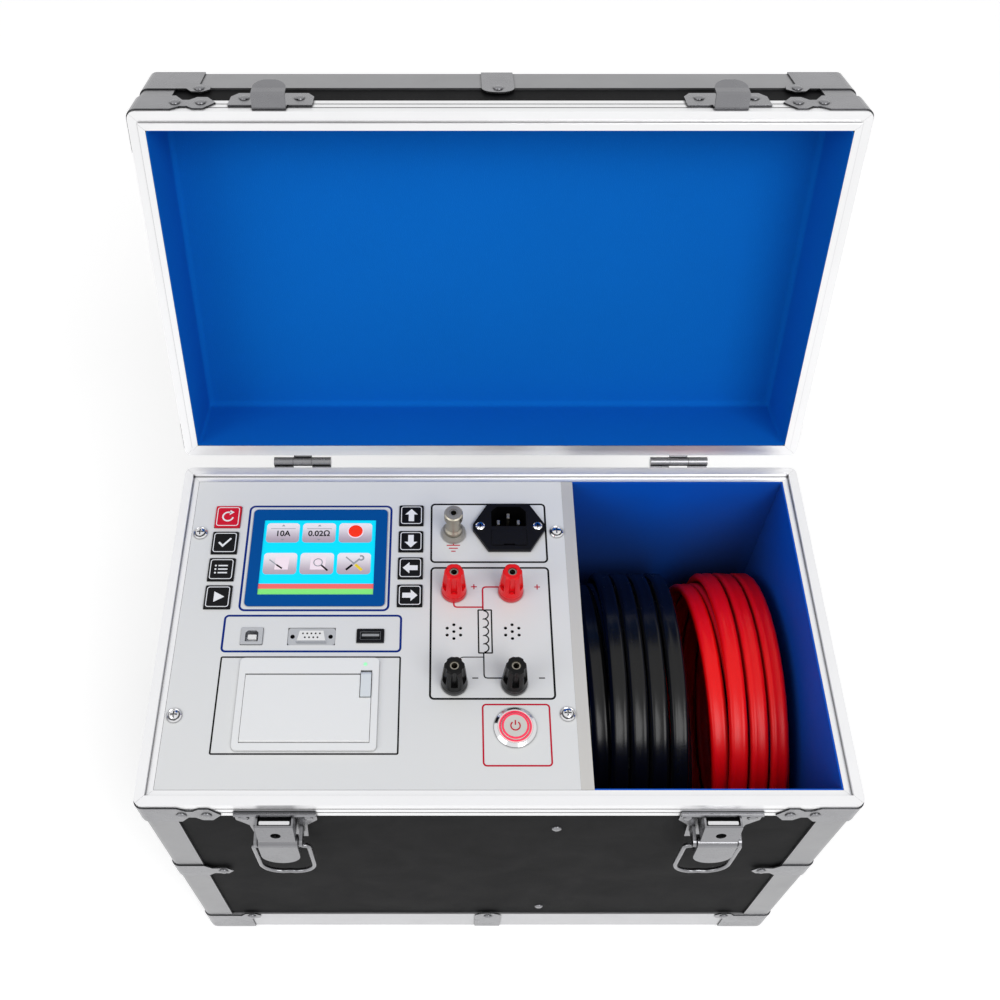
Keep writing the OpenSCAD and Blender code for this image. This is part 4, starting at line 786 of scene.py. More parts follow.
    # A near-black fill that paints the shade inside holes, slots and recesses.
    HOLE_SHADE = Finish("painted shade in holes", tone(5, 5, 6), roughness=0.8, specular=0.04, patches=(0.02, 14.0))
    CABLE_BLACK = cable("black cable sheath", tone(9, 9, 9), 0.25, 0.08, 1.0)
    CABLE_RED = cable("red cable sheath", tone(255, 6, 12), 0.32, 0.05, 0.8)
    END_BLACK = Finish("black plug moulding", tone(26, 26, 28), "black_lead_ends", 0.4, coat=0.1)
    END_RED = Finish("red plug moulding", tone(200, 20, 26), "red_lead_ends", 0.4, coat=0.1)

    @property
    def material(self) -> bpy.types.Material:
        """The built material."""
        return self.value.build()


def dress_nodes(nodes: dict[str, Object]) -> None:
    """Gives every CAD node its finish.

    Args:
        nodes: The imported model's nodes.
    """
    dressed = 0
    for finish in Finishes:
        for name in finish.value.nodes.split():
            piece = nodes[name]
            if not piece.material_slots:
                piece.data.materials.append(finish.material)
            for slot in piece.material_slots:
                slot.material = finish.material
            dressed += 1
    log.info("dressed %d nodes", dressed)


# Leads and lining


@dataclass
class Lead:
    """A flat twin cable wound out in two layers, on the same route as its solid.

    It starts at the clip's eye, bends into the coil and leaves down the coil's side to the plugs. The turns
    sway a little and lean, and both ease to nothing at the coil's ends, over so many degrees.
    """

    name: str
    start_x: float
    turns: float
    finish: Finishes
    width: float = 12.5
    thickness: float = 6.5
    pitch: float = 13.6
    inner: float = 99.6
    outer: float = 107.25
    centre_z: float = 125.3
    eye: Point = (40.0, -76.0)
    eye_reach: float = 22.0
    entry_drop: float = 38.0
    tail: float = 46.0
    rings: int = 40
    entry_rings: int = 14
    sway: float = 1.2
    lean: float = 2.2
    ease_in: float = 200.0
    ease_out: float = 140.0
    roll: float = 3.5
    groove: float = 0.8
    pattern_length: float = 100.0

    def coil(self, sweep: Array) -> tuple[Array, Array]:
        """Place of the cable at sweep angles in degrees.

        The inner layer moves one pitch a turn, half a turn climbs by an eased step, and the outer layer comes
        back.

        Args:
            sweep: Angles from the start of the coil.

        Returns:
            Offset along X and radius, in millimetres.
        """
        fill = 360.0 * self.turns
        climb = np.clip((sweep - fill) / 180.0, 0.0, 1.0)
        top = self.turns * self.pitch
        across = np.where(sweep <= fill, sweep / 360.0 * self.pitch,
                          np.where(sweep <= fill + 180.0, top + self.pitch / 2.0 * (climb - climb ** 2),
                                   top - (sweep - fill - 180.0) / 360.0 * self.pitch))
        return across, self.inner + (self.outer - self.inner) * smooth_step(climb)

    def route(self) -> tuple[Array, Array]:
        """The centre line from the clip to the plugs, and a share that eases to 0 at both ends.

        Returns:
            Points in the part's frame, and the share at each point.
        """
        last = 360.0 * (2.0 * self.turns - 0.25)
        sweep = np.linspace(0.0, last, int(last * self.rings / 360.0) + 1)
        across, radius = self.coil(sweep)
        ease = smooth_step(sweep / self.ease_in) * smooth_step((last - sweep) / self.ease_out)
        angle = np.radians(sweep)
        waves = 0.35 * np.sin(2.0 * angle + 1.9) + 0.2 * np.sin(1.7 * sweep / 360.0)
        across = across + ease * (self.sway * waves - self.lean * np.cos(angle))
        waves = 0.6 * np.sin(3.0 * angle + 0.4) + 0.4 * np.sin(2.0 * angle)
        radius = radius + ease * 0.6 * self.sway * waves
        coil = np.stack([across, radius * np.cos(angle), radius * np.sin(angle)], -1)
        eye_y, eye_z = self.eye
        t = np.linspace(0.0, 1.0, self.entry_rings, endpoint=False)[:, None]
        handles = np.array([[0, eye_y, eye_z], [0, eye_y + self.eye_reach, eye_z],
                            [0, self.inner, -self.entry_drop], [0, self.inner, 0]], float)
        shares = ((1 - t) ** 3, 3 * t * (1 - t) ** 2, 3 * t * t * (1 - t), t ** 3)
        entry = sum(share * handle for share, handle in zip(shares, handles))
        first = np.array([[0, eye_y - self.width, eye_z]])
        tail = np.array([[coil[-1, 0], self.tail * step / 5.0, -self.outer] for step in range(1, 6)])
        line = np.concatenate([first, entry, coil, tail]) + np.array([self.start_x, 0.0, self.centre_z])
        return line, np.concatenate([np.zeros(len(first) + len(entry)), ease, np.zeros(len(tail))])

    def section(self, sides: int = 24) -> Array:
        """The twin section: two round cores side by side with a shallow groove between them.

        Half the height is the upper edge of the two circles, filled to a share of it in the middle.

        Args:
            sides: Points round the section.

        Returns:
            Across and through of each point.
        """
        cosine, sine = around(np.linspace(0.0, FULL_TURN, sides, endpoint=False)).T
        radius = self.thickness / 2.0
        spread = self.width / 2.0 - radius
        x = self.width / 2.0 * np.sign(cosine) * np.abs(cosine) ** 0.8
        circles = np.sqrt(np.clip(radius ** 2 - (np.abs(x) - spread) ** 2, 0.0, None))
        height = np.where(np.abs(x) >= spread, circles, np.maximum(circles, self.groove * radius))
        return np.stack([x, np.sign(sine) * height * (np.abs(sine) > 1e-6)], -1)

    def build(self, ends: Object) -> None:
        """Args:
            ends: The CAD node with its clip and plugs; not used.
        """
        line, ease = self.route()
        tangent = unit(np.gradient(line, axis=0))
        side = unit(np.array([1.0, 0.0, 0.0]) - tangent * tangent[:, :1])
        through = np.cross(tangent, side)
        roll = (np.radians(self.roll) * ease * np.sin(np.arange(len(line)) * 0.05 + 0.6))[:, None]
        side, through = (side * np.cos(roll) + through * np.sin(roll),
                         through * np.cos(roll) - side * np.sin(roll))
        section = self.section()
        grid = line[:, None] + side[:, None] * section[None, :, :1] + through[:, None] * section[None, :, 1:]
        along = np.concatenate([[0.0], np.cumsum(np.linalg.norm(np.diff(line, axis=0), axis=1))])
        coords = np.stack(np.broadcast_arrays(along[:, None] / self.pattern_length,
                                              np.linspace(0.0, 1.0, len(section))), -1)
        piece = Solid().surface(grid, coords=coords).make(f"{self.name}_cable", self.finish)
        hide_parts(self.name)


@dataclass
class LidLining:
    """The felt tray that lines the lid: soft walls, a rounded bend and a slightly crowned face.

    It is made shut and then opened. Half holds half its width and depth; back is how far its back stands out.
    """

    half: Point = (209.0, 114.0)
    back: float = 0.45
    edge_z: float = -2.2
    face_z: float = 50.0
    back_z: float = 59.4
    bend: float = 4.0
    corner: float = 2.0
    crown: float = 0.9
    swell: float = 0.45
    ripple: float = 0.12
    ripple_lengths: Point = (31.0, 23.0)
    side_steps: int = 36
    corner_steps: int = 5
    open_angle: float = 107.2
    hinge: Point = (130.25, RIM_Z)

    def ring(self, inset: float) -> Array:
        """The tray's rounded outline drawn in by an inset, with points all along its sides.

        Args:
            inset: How far it is drawn in, or out where negative.

        Returns:
            The outline's points.
        """
        size = tuple(2 * (half - inset) for half in self.half)
        corners = rounded_rect((0.0, 0.0), size, self.corner + max(0.0, inset), self.corner_steps)
        last = np.arange(len(corners)) % (self.corner_steps + 1) == self.corner_steps
        pieces = []
        for start, stop, side in zip(corners, np.roll(corners, -1, 0), last):
            shares = np.linspace(0.0, 1.0, self.side_steps if side else 1, endpoint=False)
            pieces.append(start + (stop - start) * shares[:, None])
        return np.concatenate(pieces)

    def rows(self) -> Array:
        """The tray's skin from the middle of its back, round its edge, to the middle of its face.

        The walls swell inwards by a sine of their height, the bend is a quarter circle, and the face sinks
        from its plane by the crown times the falling square of the place across it.

        Returns:
            Points by row and column, shut.
        """
        outer = self.ring(-self.back)
        foot = self.edge_z + 0.2
        rows = [(outer * share, self.back_z) for share in (0.02, 0.5, 0.97, 1.0)]
        rows += [(outer, z) for z in np.linspace(self.back_z - 1.0, foot, 6)]
        rows.append((self.ring(-self.back / 2), self.edge_z))
        for share in np.linspace(0.0, 1.0, 14):
            rows.append((self.ring(self.swell * math.sin(math.pi * share) + 0.02),
                         foot + share * (self.face_z - self.bend - foot)))
        for angle in np.radians(np.linspace(0.0, 90.0, 8)[1:]):
            rows.append((self.ring(self.bend * (1.0 - math.cos(angle))),
                         self.face_z - self.bend * (1.0 - math.sin(angle))))
        inner = rows[-1][0]
        for share in np.linspace(1.0, 0.02, 26)[1:]:
            x, y = (inner * share).T
            fall = (1.0 - (x / self.half[0]) ** 2) * (1.0 - (y / self.half[1]) ** 2)
            length_x, length_y = self.ripple_lengths
            ripple = self.ripple * np.sin(x / length_x + 0.6) * np.cos(y / length_y)
            rows.append((inner * share, self.face_z + (ripple - self.crown) * fall))
        return stacked(rows)

    def opened(self, points: Array) -> Array:
        """Turns shut places back about the hinge by the lid's angle.

        Args:
            points: Places shut, as the part's X and Y and the height over the rim.

        Returns:
            Places in the part's frame with the lid open.
        """
        sine, cosine = math.sin(math.radians(self.open_angle)), math.cos(math.radians(self.open_angle))
        y, z = points[..., 1] - self.hinge[0], points[..., 2]
        return np.stack([points[..., 0], self.hinge[0] + y * cosine + z * sine,
                         self.hinge[1] - y * sine + z * cosine], -1)

    def build(self) -> None:
        piece = Solid().surface(self.opened(self.rows())).make("lid_felt", Finishes.FELT, "lid_assembly")
        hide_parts("lid_liner")


# Print and screen


class Sign(Enum):
    """Plain signs on the keys. An arrow's value is its direction in degrees."""

    RETURN = "return"
    TICK = "tick"
    LIST = "list"
    RUN = "run"
    UP = 90.0
    DOWN = -90.0
    LEFT = 180.0
    RIGHT = 0.0


@dataclass
class Keypad:
    """Printed frames and signs on the eight keys. A side has its middle, key size and signs from the top."""

    sides: tuple[tuple[str, Point, float, tuple[Sign, ...]], ...] = (
        ("left", (-185.3, 51.5), 17.6, (Sign.RETURN, Sign.TICK, Sign.LIST, Sign.RUN)),
        ("right", (-56.5, 52.6), 16.6, (Sign.UP, Sign.DOWN, Sign.LEFT, Sign.RIGHT)))
    pitch: float = 21.5
    margin: float = 2.6
    corner: float = 1.6
    stroke: float = 0.55
    top: float = PANEL_Z + 1.2
    frame_span: Point = (-0.05, 0.07)
    sign_span: Point = (-0.05, 0.08)

    def sign(self, solid: Solid, kind: Sign, middle: Array) -> None:
        """Draws one sign on a key.

        Args:
            solid: Mesh that takes it.
            kind: Which sign.
            middle: Middle of the key.
        """
        span = self.sign_span
        if isinstance(kind.value, float):
            shape = np.array([[5.2, 0.0], [0.6, 4.4], [0.6, 1.9], [-5.0, 1.9],
                              [-5.0, -1.9], [0.6, -1.9], [0.6, -4.4]])
            turn = math.radians(kind.value)
            spin = np.array([[math.cos(turn), math.sin(turn)], [-math.sin(turn), math.cos(turn)]])
            solid.prism(middle + shape @ spin, *span)
        elif kind is Sign.RETURN:
            start, radius = 60.0, 3.6
            solid.line(arc(middle, radius, start, 350.0), 1.1, *span)
            tip = middle + radius * around(math.radians(start))
            solid.prism(tip + [[2.4, 0.5], [-0.6, 2.2], [-0.9, -1.9]], *span)
        elif kind is Sign.TICK:
            solid.line(middle + [[-4.0, 0.2], [-1.2, -2.8], [4.2, 3.4]], 1.4, *span)
        elif kind is Sign.LIST:
            for row in (-2.8, 0.0, 2.8):
                solid.line(middle + [[-2.2, row], [4.2, row]], 1.0, *span)
                solid.prism(circle(middle + [-4.0, row], 0.7, 12), *span)
        else:
            solid.prism(middle + [[-2.6, -4.0], [4.4, 0.0], [-2.6, 4.0]], *span)

    def build(self) -> None:
        """Builds the print of each key, riding on its key."""
        for side, (x, y), size, signs in self.sides:
            for i, kind in enumerate(signs):
                middle = np.array([x, y + self.pitch * (1.5 - i)])
                frame = rounded_rect(middle, (size - self.margin, size - self.margin), self.corner)
                solid = Solid(self.top).loop(frame, self.stroke, *self.frame_span)
                self.sign(solid, kind, middle)
                solid.make(f"{side}_key_{i + 1}_print", Finishes.INK_WHITE, f"{side}_key_{i + 1}")


@dataclass
class PanelPrint:
    """Printed frames, traces and signs on the panel.

    A frame has its ink, two corners, their radius and the line's width. A sign has its ink and its middle.
    """

    frames: tuple[tuple[str, Point, Point, float, float], ...] = (
        ("black", (-42.4, 47.0), (37.3, 94.8), 2.6, 1.25),
        ("black", (-42.2, -54.5), (37.5, 42.4), 2.6, 1.25),
        ("black", (-178.0, -91.4), (-61.8, -25.1), 0.8, 1.0),
        ("blue", (-170.2, 9.5), (-70.7, 93.0), 3.6, 1.45),
        ("blue", (-178.7, -21.0), (-61.9, 5.4), 2.6, 1.4),
        ("red", (-8.8, -99.0), (33.4, -58.4), 2.2, 1.0))
    signs: tuple[tuple[str, float, float], ...] = (
        ("red", -13.3, 27.6), ("red", 29.4, 27.4), ("black", -13.2, -40.0), ("black", 29.7, -40.0))
    sign_half: float = 1.9
    sign_stroke: float = 0.7
    bend: float = 2.4
    span: Point = (-0.04, 0.09)
    post_left: float = -26.9
    post_right: float = 4.6
    resistor_x: float = -7.5
    resistor_y: Point = (-22.1, 9.7)
    resistor_size: float = 8.8
    resistor_shift: float = 1.2
    humps: int = 5
    earth_x: float = -27.1
    earth_y: Point = (66.0, 60.6)
    earth_bars: tuple[Point, ...] = ((60.6, 4.6), (58.2, 3.1), (55.8, 1.5))

    def outline(self, solid: Solid, low: Point, high: Point, radius: float, width: float) -> None:
        """Draws a rounded frame between two corners."""
        low, high = np.array(low), np.array(high)
        solid.loop(rounded_rect((low + high) / 2, high - low, radius), width, *self.span)

    def trace(self, solid: Solid, points: Sequence[Point], width: float = 1.0) -> None:
        """Draws a trace with rounded corners."""
        solid.line(rounded_route(points, self.bend), width, *self.span)

    def stroke(self, solid: Solid, x: Point, y: Point, lift: float = 0.0) -> None:
        """Draws one stroke of a sign between two places."""
        solid.line(np.array([x, y]).T, self.sign_stroke, self.span[0], self.span[1] + lift)

    def resistor(self, black: Solid) -> None:
        """Draws the resistor's sign: a box, and a line of half circles down beside its middle.

        Args:
            black: Mesh that takes it.
        """
        bottom, top = self.resistor_y
        middle = self.resistor_x + self.resistor_shift
        half = self.resistor_size / 2
        self.outline(black, (middle - half, bottom), (middle + half, top), 0.3, 0.9)
        ends = np.linspace(top - 0.6, bottom + 0.6, self.humps + 1)
        wave = np.concatenate([arc((self.resistor_x + 0.4, (a + b) / 2), (a - b) / 2, 90, -90, 14)
                               for a, b in zip(ends, ends[1:])])
        keeps_ends_apart = np.linspace(0, 1e-3, len(wave))[:, None]
        black.line(wave + keeps_ends_apart, 0.8, *self.span)

    def build(self) -> None:
        """Builds the black, blue and red print."""
        inks = {"black": Finishes.INK_BLACK, "blue": Finishes.INK_BLUE, "red": Finishes.INK_RED}
        print_of = {name: Solid(PANEL_Z) for name in inks}
        black, red = print_of["black"], print_of["red"]
        left, right, middle = self.post_left, self.post_right, self.resistor_x
        bottom, top = self.resistor_y
        for name, *frame in self.frames:
            self.outline(print_of[name], *frame)
        self.resistor(black)
        self.trace(black, [(middle, bottom), (middle, -40.0), (right, -40.0)], 0.8)
        branch = [(middle, -25.1), (middle - 5, -25.1), (left + 4.0, -25.1), (left + 1.5, -34.0)]
        self.trace(black, branch, 0.6)
        self.trace(red, [(left, 16.0), (left, 11.9), (middle, 11.9)])
        self.trace(red, [(right, 27.4), (middle, 27.4), (middle, top)])
        for name, x, y in self.signs:
            self.stroke(print_of[name], (x - self.sign_half, x + self.sign_half), (y, y))
            if name == "red":
                self.stroke(red, (x, x), (y - self.sign_half, y + self.sign_half), 0.01)
        self.stroke(red, (self.earth_x, self.earth_x), self.earth_y)
        for y, reach in self.earth_bars:
            self.stroke(red, (self.earth_x - reach, self.earth_x + reach), (y, y))
        for name, finish in inks.items():
            print_of[name].make(f"panel_print_{name}", finish, smooth=False)


@dataclass
class Screen:
    """What the screen shows: six tiles with plain pictures and two bars, placed by shares across and down."""

    corner: Point = (-159.2, 81.2)
    size: Point = (78.0, -60.0)
    face: float = PANEL_Z - 0.05
    columns: tuple[Point, ...] = ((0.025, 0.318), (0.347, 0.642), (0.672, 0.967))
    rows: tuple[Point, ...] = ((0.04, 0.305), (0.447, 0.73))
    readings: tuple[tuple[str, str, float], ...] = (
        ("screen_current", "10A", 0.172), ("screen_resistance", "0.02Ω", 0.495))
    reading_down: float = 0.185
    reading_height: float = 4.4
    em_share: float = 1.4
    reading_lift: float = 0.2
    reading_depth: float = 0.04
    reading_bold: float = 0.13
    disc: Point = (0.82, 0.15)
    picture_down: float = 0.585
    thin: Point = (0.1, 0.22)
    thick: Point = (0.1, 0.3)

    def at(self, across: float, down: float) -> Array:
        """A place on the screen from its shares across and down."""
        return np.array(self.corner) + np.array([across, down]) * self.size

    def box(self, across: Point, down: Point, radius: float, steps: int) -> Array:
        """The outline of a box between shares across and down."""
        first, last = self.at(across[0], down[1]), self.at(across[1], down[0])
        return rounded_rect((first + last) / 2, last - first, radius, steps)

    def tiles(self) -> None:
        """Builds the six tiles, pale at the top and darker below."""
        solid = Solid(self.face)
        for down in self.rows:
            for across in self.columns:
                outline = self.box(across, down, 2.6, 8)
                rise = (outline[:, 1] - outline[:, 1].min()) / np.ptp(outline[:, 1])
                coords = np.stack([np.column_stack([np.zeros(len(outline)), rise])] * 2)
                solid.surface(stacked([(outline, -0.1), (outline, 0.16)]), coords=coords)
        solid.make("screen_tiles", Finishes.TILE, smooth=False)

    def text(self, name: str, words: str, centre: Array) -> None:
        """Writes plain figures as a flat mesh.

        Args:
            name: Name of the piece.
            words: The figures.
            centre: Their middle.
        """
        curve = bpy.data.curves.new(name, "FONT")
        curve.body = words
        curve.align_x = "CENTER"
        curve.align_y = "CENTER"
        curve.size = self.reading_height * self.em_share * MM
        curve.extrude = self.reading_depth * MM
        curve.offset = self.reading_bold * MM
        holder = put(name + "_curve", curve)
        bpy.context.view_layer.update()
        mesh = bpy.data.meshes.new_from_object(holder.evaluated_get(bpy.context.evaluated_depsgraph_get()))
        bpy.data.objects.remove(holder)
        points = np.zeros(len(mesh.vertices) * 3, np.float32)
        mesh.vertices.foreach_get("co", points)
        place = np.array([*centre, self.face + self.reading_lift]) * MM
        points = points.reshape(-1, 3) + place.astype(np.float32)
        mesh.vertices.foreach_set("co", points.ravel())
        mesh.materials.clear()
        mesh.materials.append(Finishes.INK_BLACK.material)
        mesh.name = name
        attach(put(name, mesh), "case")

    def pictures(self) -> None:
        """Builds the marks above and below the figures, the red disc and the three plain pictures."""
        ink, paper, steel, yellow, dot = (Solid(self.face) for _ in range(5))
        thin, thick = self.thin, self.thick
        for _, _, across in self.readings:
            steel.line(np.array([self.at(across - 0.11, 0.115), self.at(across + 0.11, 0.115)]), 0.35, *thin)
            for down, sign in ((0.075, 1), (0.265, -1)):
                mark = np.array([[-1.3, -0.5 * sign], [1.3, -0.5 * sign], [0.0, 0.9 * sign]])
                steel.prism(self.at(across, down) + mark[::sign], *thin)
        centre = self.at(*self.disc)
        paper.prism(circle(centre, 5.7), *thin)
        dot.prism(circle(centre, 4.9), *thick)
        meter, glass, tools = (self.at(sum(column) / 2, self.picture_down) for column in self.columns)
        for middle, lean in ((meter, 0), (glass, 1)):
            paper.prism(middle + [[-3.6 - lean, -5.0], [5.6, -5.0], [6.2, 5.6], [-3.2 - lean, 5.0]], *thin)
        steel.loop(circle(glass + [0.8, 0.6], 2.9), 0.7, *thick)
        for solid, middle, start, stop, width, span in (
                (steel, meter, (-7.5, 2.8), (-2.2, -1.4), 0.7, thick),
                (ink, meter, (-2.4, -1.2), (1.6, -4.2), 1.1, thick),
                (ink, glass, (3.2, -1.6), (7.6, -5.8), 1.2, thick),
                (steel, tools, (-5.6, 5.0), (0.4, -0.4), 0.9, thin),
                (steel, tools, (3.2, 2.8), (-0.6, -0.8), 1.2, thick),
                (ink, tools, (-1.0, -1.2), (-5.2, -5.2), 1.5, thick),
                (yellow, tools, (1.0, -1.0), (5.6, -5.6), 1.9, thick)):
            solid.line(middle + [start, stop], width, *span)
        steel.line(tools + arc((4.8, 4.2), 1.7, -160, 120, 12), 1.1, *thick)
        for name, solid, finish in (("ink", ink, Finishes.INK_BLACK), ("paper", paper, Finishes.PAPER_ICON),
                                    ("steel", steel, Finishes.STEEL_ICON),
                                    ("yellow", yellow, Finishes.YELLOW_ICON), ("dot", dot, Finishes.DOT)):
            solid.make(f"screen_{name}", finish, smooth=False)

    def build(self) -> None:
        """Builds the tiles, bars, figures and pictures."""
        self.tiles()
        for name, down, finish in (("red", (0.855, 0.92), Finishes.SCREEN_RED),
                                   ("green", (0.92, 1.0), Finishes.SCREEN_GREEN)):
            bar = Solid(self.face).prism(self.box((0.0, 1.0), down, 0.05, 1), -0.1, 0.1)
            bar.make(f"screen_bar_{name}", finish, smooth=False)
        for name, words, across in self.readings:
            self.text(name, words, self.at(across, self.reading_down))
        self.pictures()


# Fittings and latches


@dataclass
class Fittings:
    """Small pieces on the panel, each about its place, with heights from the panel's face."""

    inlet: Point = (11.6, 74.3)
    inlet_screw: float = 20.0
    tub_rise: float = 8.4
    tub_half: float = 12.2
    tub_wall: float = 0.4
    tub_span: Point = (-12.9, 2.9)
    pins: tuple[Point, ...] = ((-7.0, 6.4), (0.0, 11.9), (7.0, 6.4))
    pin_size: Point = (2.16, 4.16)
    switch: Point = (11.4, -74.1)
    serial: Point = (-120.5, -10.0)
    serial_pitch: float = 2.77
    serial_rows: tuple[tuple[float, int], ...] = ((1.42, 5), (-1.42, 4))
    serial_nut: float = 12.5
    usb_b: Point = (-159.7, -10.0)
    usb_a: Point = (-81.8, -9.8)
    lamp: Point = (-84.0, -31.3)
    sounders: tuple[Point, ...] = ((-26.9, -6.4), (11.6, -6.4))
    sounder_ring: float = 5.1
    sounder_hole: float = 1.08

    def power_inlet(self) -> None:
        """Builds the inlet's black tub, darkened with painted shade, bright sleeves over its three pins, and
        its two screw heads with painted shade in their slots.
        """
        x, y = self.inlet
        half, floor = self.tub_half, self.tub_span[0]
        outer = np.array([[-half, -8.2], [half, -8.2], [half, 4.2], [8.2, 8.2], [-8.2, 8.2], [-half, 4.2]])
        middle = np.array([x, y + self.tub_rise])
        tub, heads, slots, pins = (Solid(PANEL_Z) for _ in range(4))
        tub.frame(outer + middle, outer * (1.0 - self.tub_wall / half) + middle, *self.tub_span)
        # The tub is black plastic, made darker still with painted shade.
        tub.prism(outer * 0.97 + middle, floor, floor + 0.3).make("inlet_tub", Finishes.HOLE_SHADE)
        for centre in ((x - self.inlet_screw, y), (x + self.inlet_screw, y)):
            heads.turned([(0.0, 3.0), (3.3, 3.02), (3.2, 3.9), (2.4, 4.5), (0.0, 4.7)], centre, 28)
            for size in ((3.2, 0.7), (0.7, 3.2)):
                slots.prism(rounded_rect(centre, size, 0.15, 2), 4.3, 4.76)
        heads.make("inlet_screw_heads", Finishes.CHROME)
        slots.make("inlet_screw_slots", Finishes.HOLE_SHADE)
        for dx, dy in self.pins:
            pins.prism(rounded_rect((x + dx, y + dy), self.pin_size, 0.4, 3), -13.0, -1.5, 0.35)
        pins.make("inlet_pins", Finishes.NICKEL)

    def serial_insert(self) -> None:
        """Builds the white insert of the D socket, and painted shade in its nine holes and the holes of its
        two nuts.
        """
        x, y = self.serial
        shape = np.array(self.serial) + [[-9.2, -3.5], [9.2, -3.5], [7.8, 3.5], [-7.8, 3.5]]
        Solid(PANEL_Z).prism(shape, 1.1, 1.52).make("serial_insert", Finishes.WHITE_INSERT)
        holes = Solid(PANEL_Z)
        for row, count in self.serial_rows:
            for i in range(count):
                place = (x + self.serial_pitch * (i - (count - 1) / 2), y + row)
                holes.prism(circle(place, 0.62, 14), 1.4, 1.56)
        for side in (-1, 1):
            holes.prism(circle((x + side * self.serial_nut, y), 1.5, 18), -0.6, -0.4)
        holes.make("serial_holes", Finishes.HOLE_SHADE)

    def usb(self) -> None:
        """Builds the pale tongue of the square port and the dark mouth of the flat one."""
        tongue = Solid(PANEL_Z).prism(rounded_rect(self.usb_b, (5.8, 3.4), 0.3, 3), -8.5, -0.5, 0.2)
        tongue.make("square_port_tongue", Finishes.WHITE_INSERT)
        outer = rounded_rect(self.usb_a, (17.8, 9.9), 0.8, 4)
        inner = rounded_rect(self.usb_a, (13.4, 6.0), 0.3, 4)
        Solid(PANEL_Z).frame(outer, inner, 0.6, 0.95).make("flat_port_face", Finishes.INLET)

    def switch_rings(self) -> None:
        """Builds the lit ring, its lens and a pale ring of painted highlight round it, and the power sign on
        the button.
        """
        for name, finish, body, profile in (
                ("lens", Finishes.RING_RED, "case", [(9.2, 2.3), (10.3, 2.3), (10.3, 2.85), (9.3, 2.95)]),
                ("lit_ring", Finishes.RING_RED, "power_button",
                 [(7.3, 2.8), (8.7, 2.8), (8.7, 3.3), (8.4, 3.56), (7.5, 3.6), (7.3, 3.4)]),
                ("highlight_ring", Finishes.RING_HIGHLIGHT, "case",
                 [(10.3, 2.3), (11.0, 2.3), (10.9, 2.75), (10.3, 2.75)])):
            Solid(PANEL_Z).turned(profile, self.switch).make(f"switch_{name}", finish, body)
        sign = Solid(PANEL_Z).line(arc(self.switch, 2.9, 128, 412, 30), 0.75, 3.1, 3.5)
        sign.line(np.array(self.switch) + [[0.0, 0.6], [0.0, 3.7]], 0.75, 3.1, 3.5)
        sign.make("switch_sign", Finishes.INK_RED, "power_button", smooth=False)

    def build(self) -> None:
        """Builds painted shade behind the sound holes, the sockets, the switch's rings and the printer's
        lamp.
        """
        holes = Solid(PANEL_Z)
        quarter_turn = np.array([[0.0, 1.0], [-1.0, 0.0]])
        offsets = [(0.0, 0.0), *circle((0.0, 0.0), self.sounder_ring, 6) @ quarter_turn]
        for centre in self.sounders:
            for offset in offsets:
                holes.prism(circle(np.array(centre) + offset, self.sounder_hole, 18), -1.6, -0.5)
        # Dark discs under the sound holes paint the shade inside them.
        holes.make("sound_holes", Finishes.HOLE_SHADE)
        self.power_inlet()
        self.serial_insert()
        self.usb()
        self.switch_rings()
        profile = [(0.0, 2.2), (1.1, 2.2), (1.1, 2.6), (0.8, 2.9), (0.0, 3.0)]
        Solid(PANEL_Z).turned(profile, self.lamp, 20).make("printer_lamp", Finishes.GREEN_LAMP)


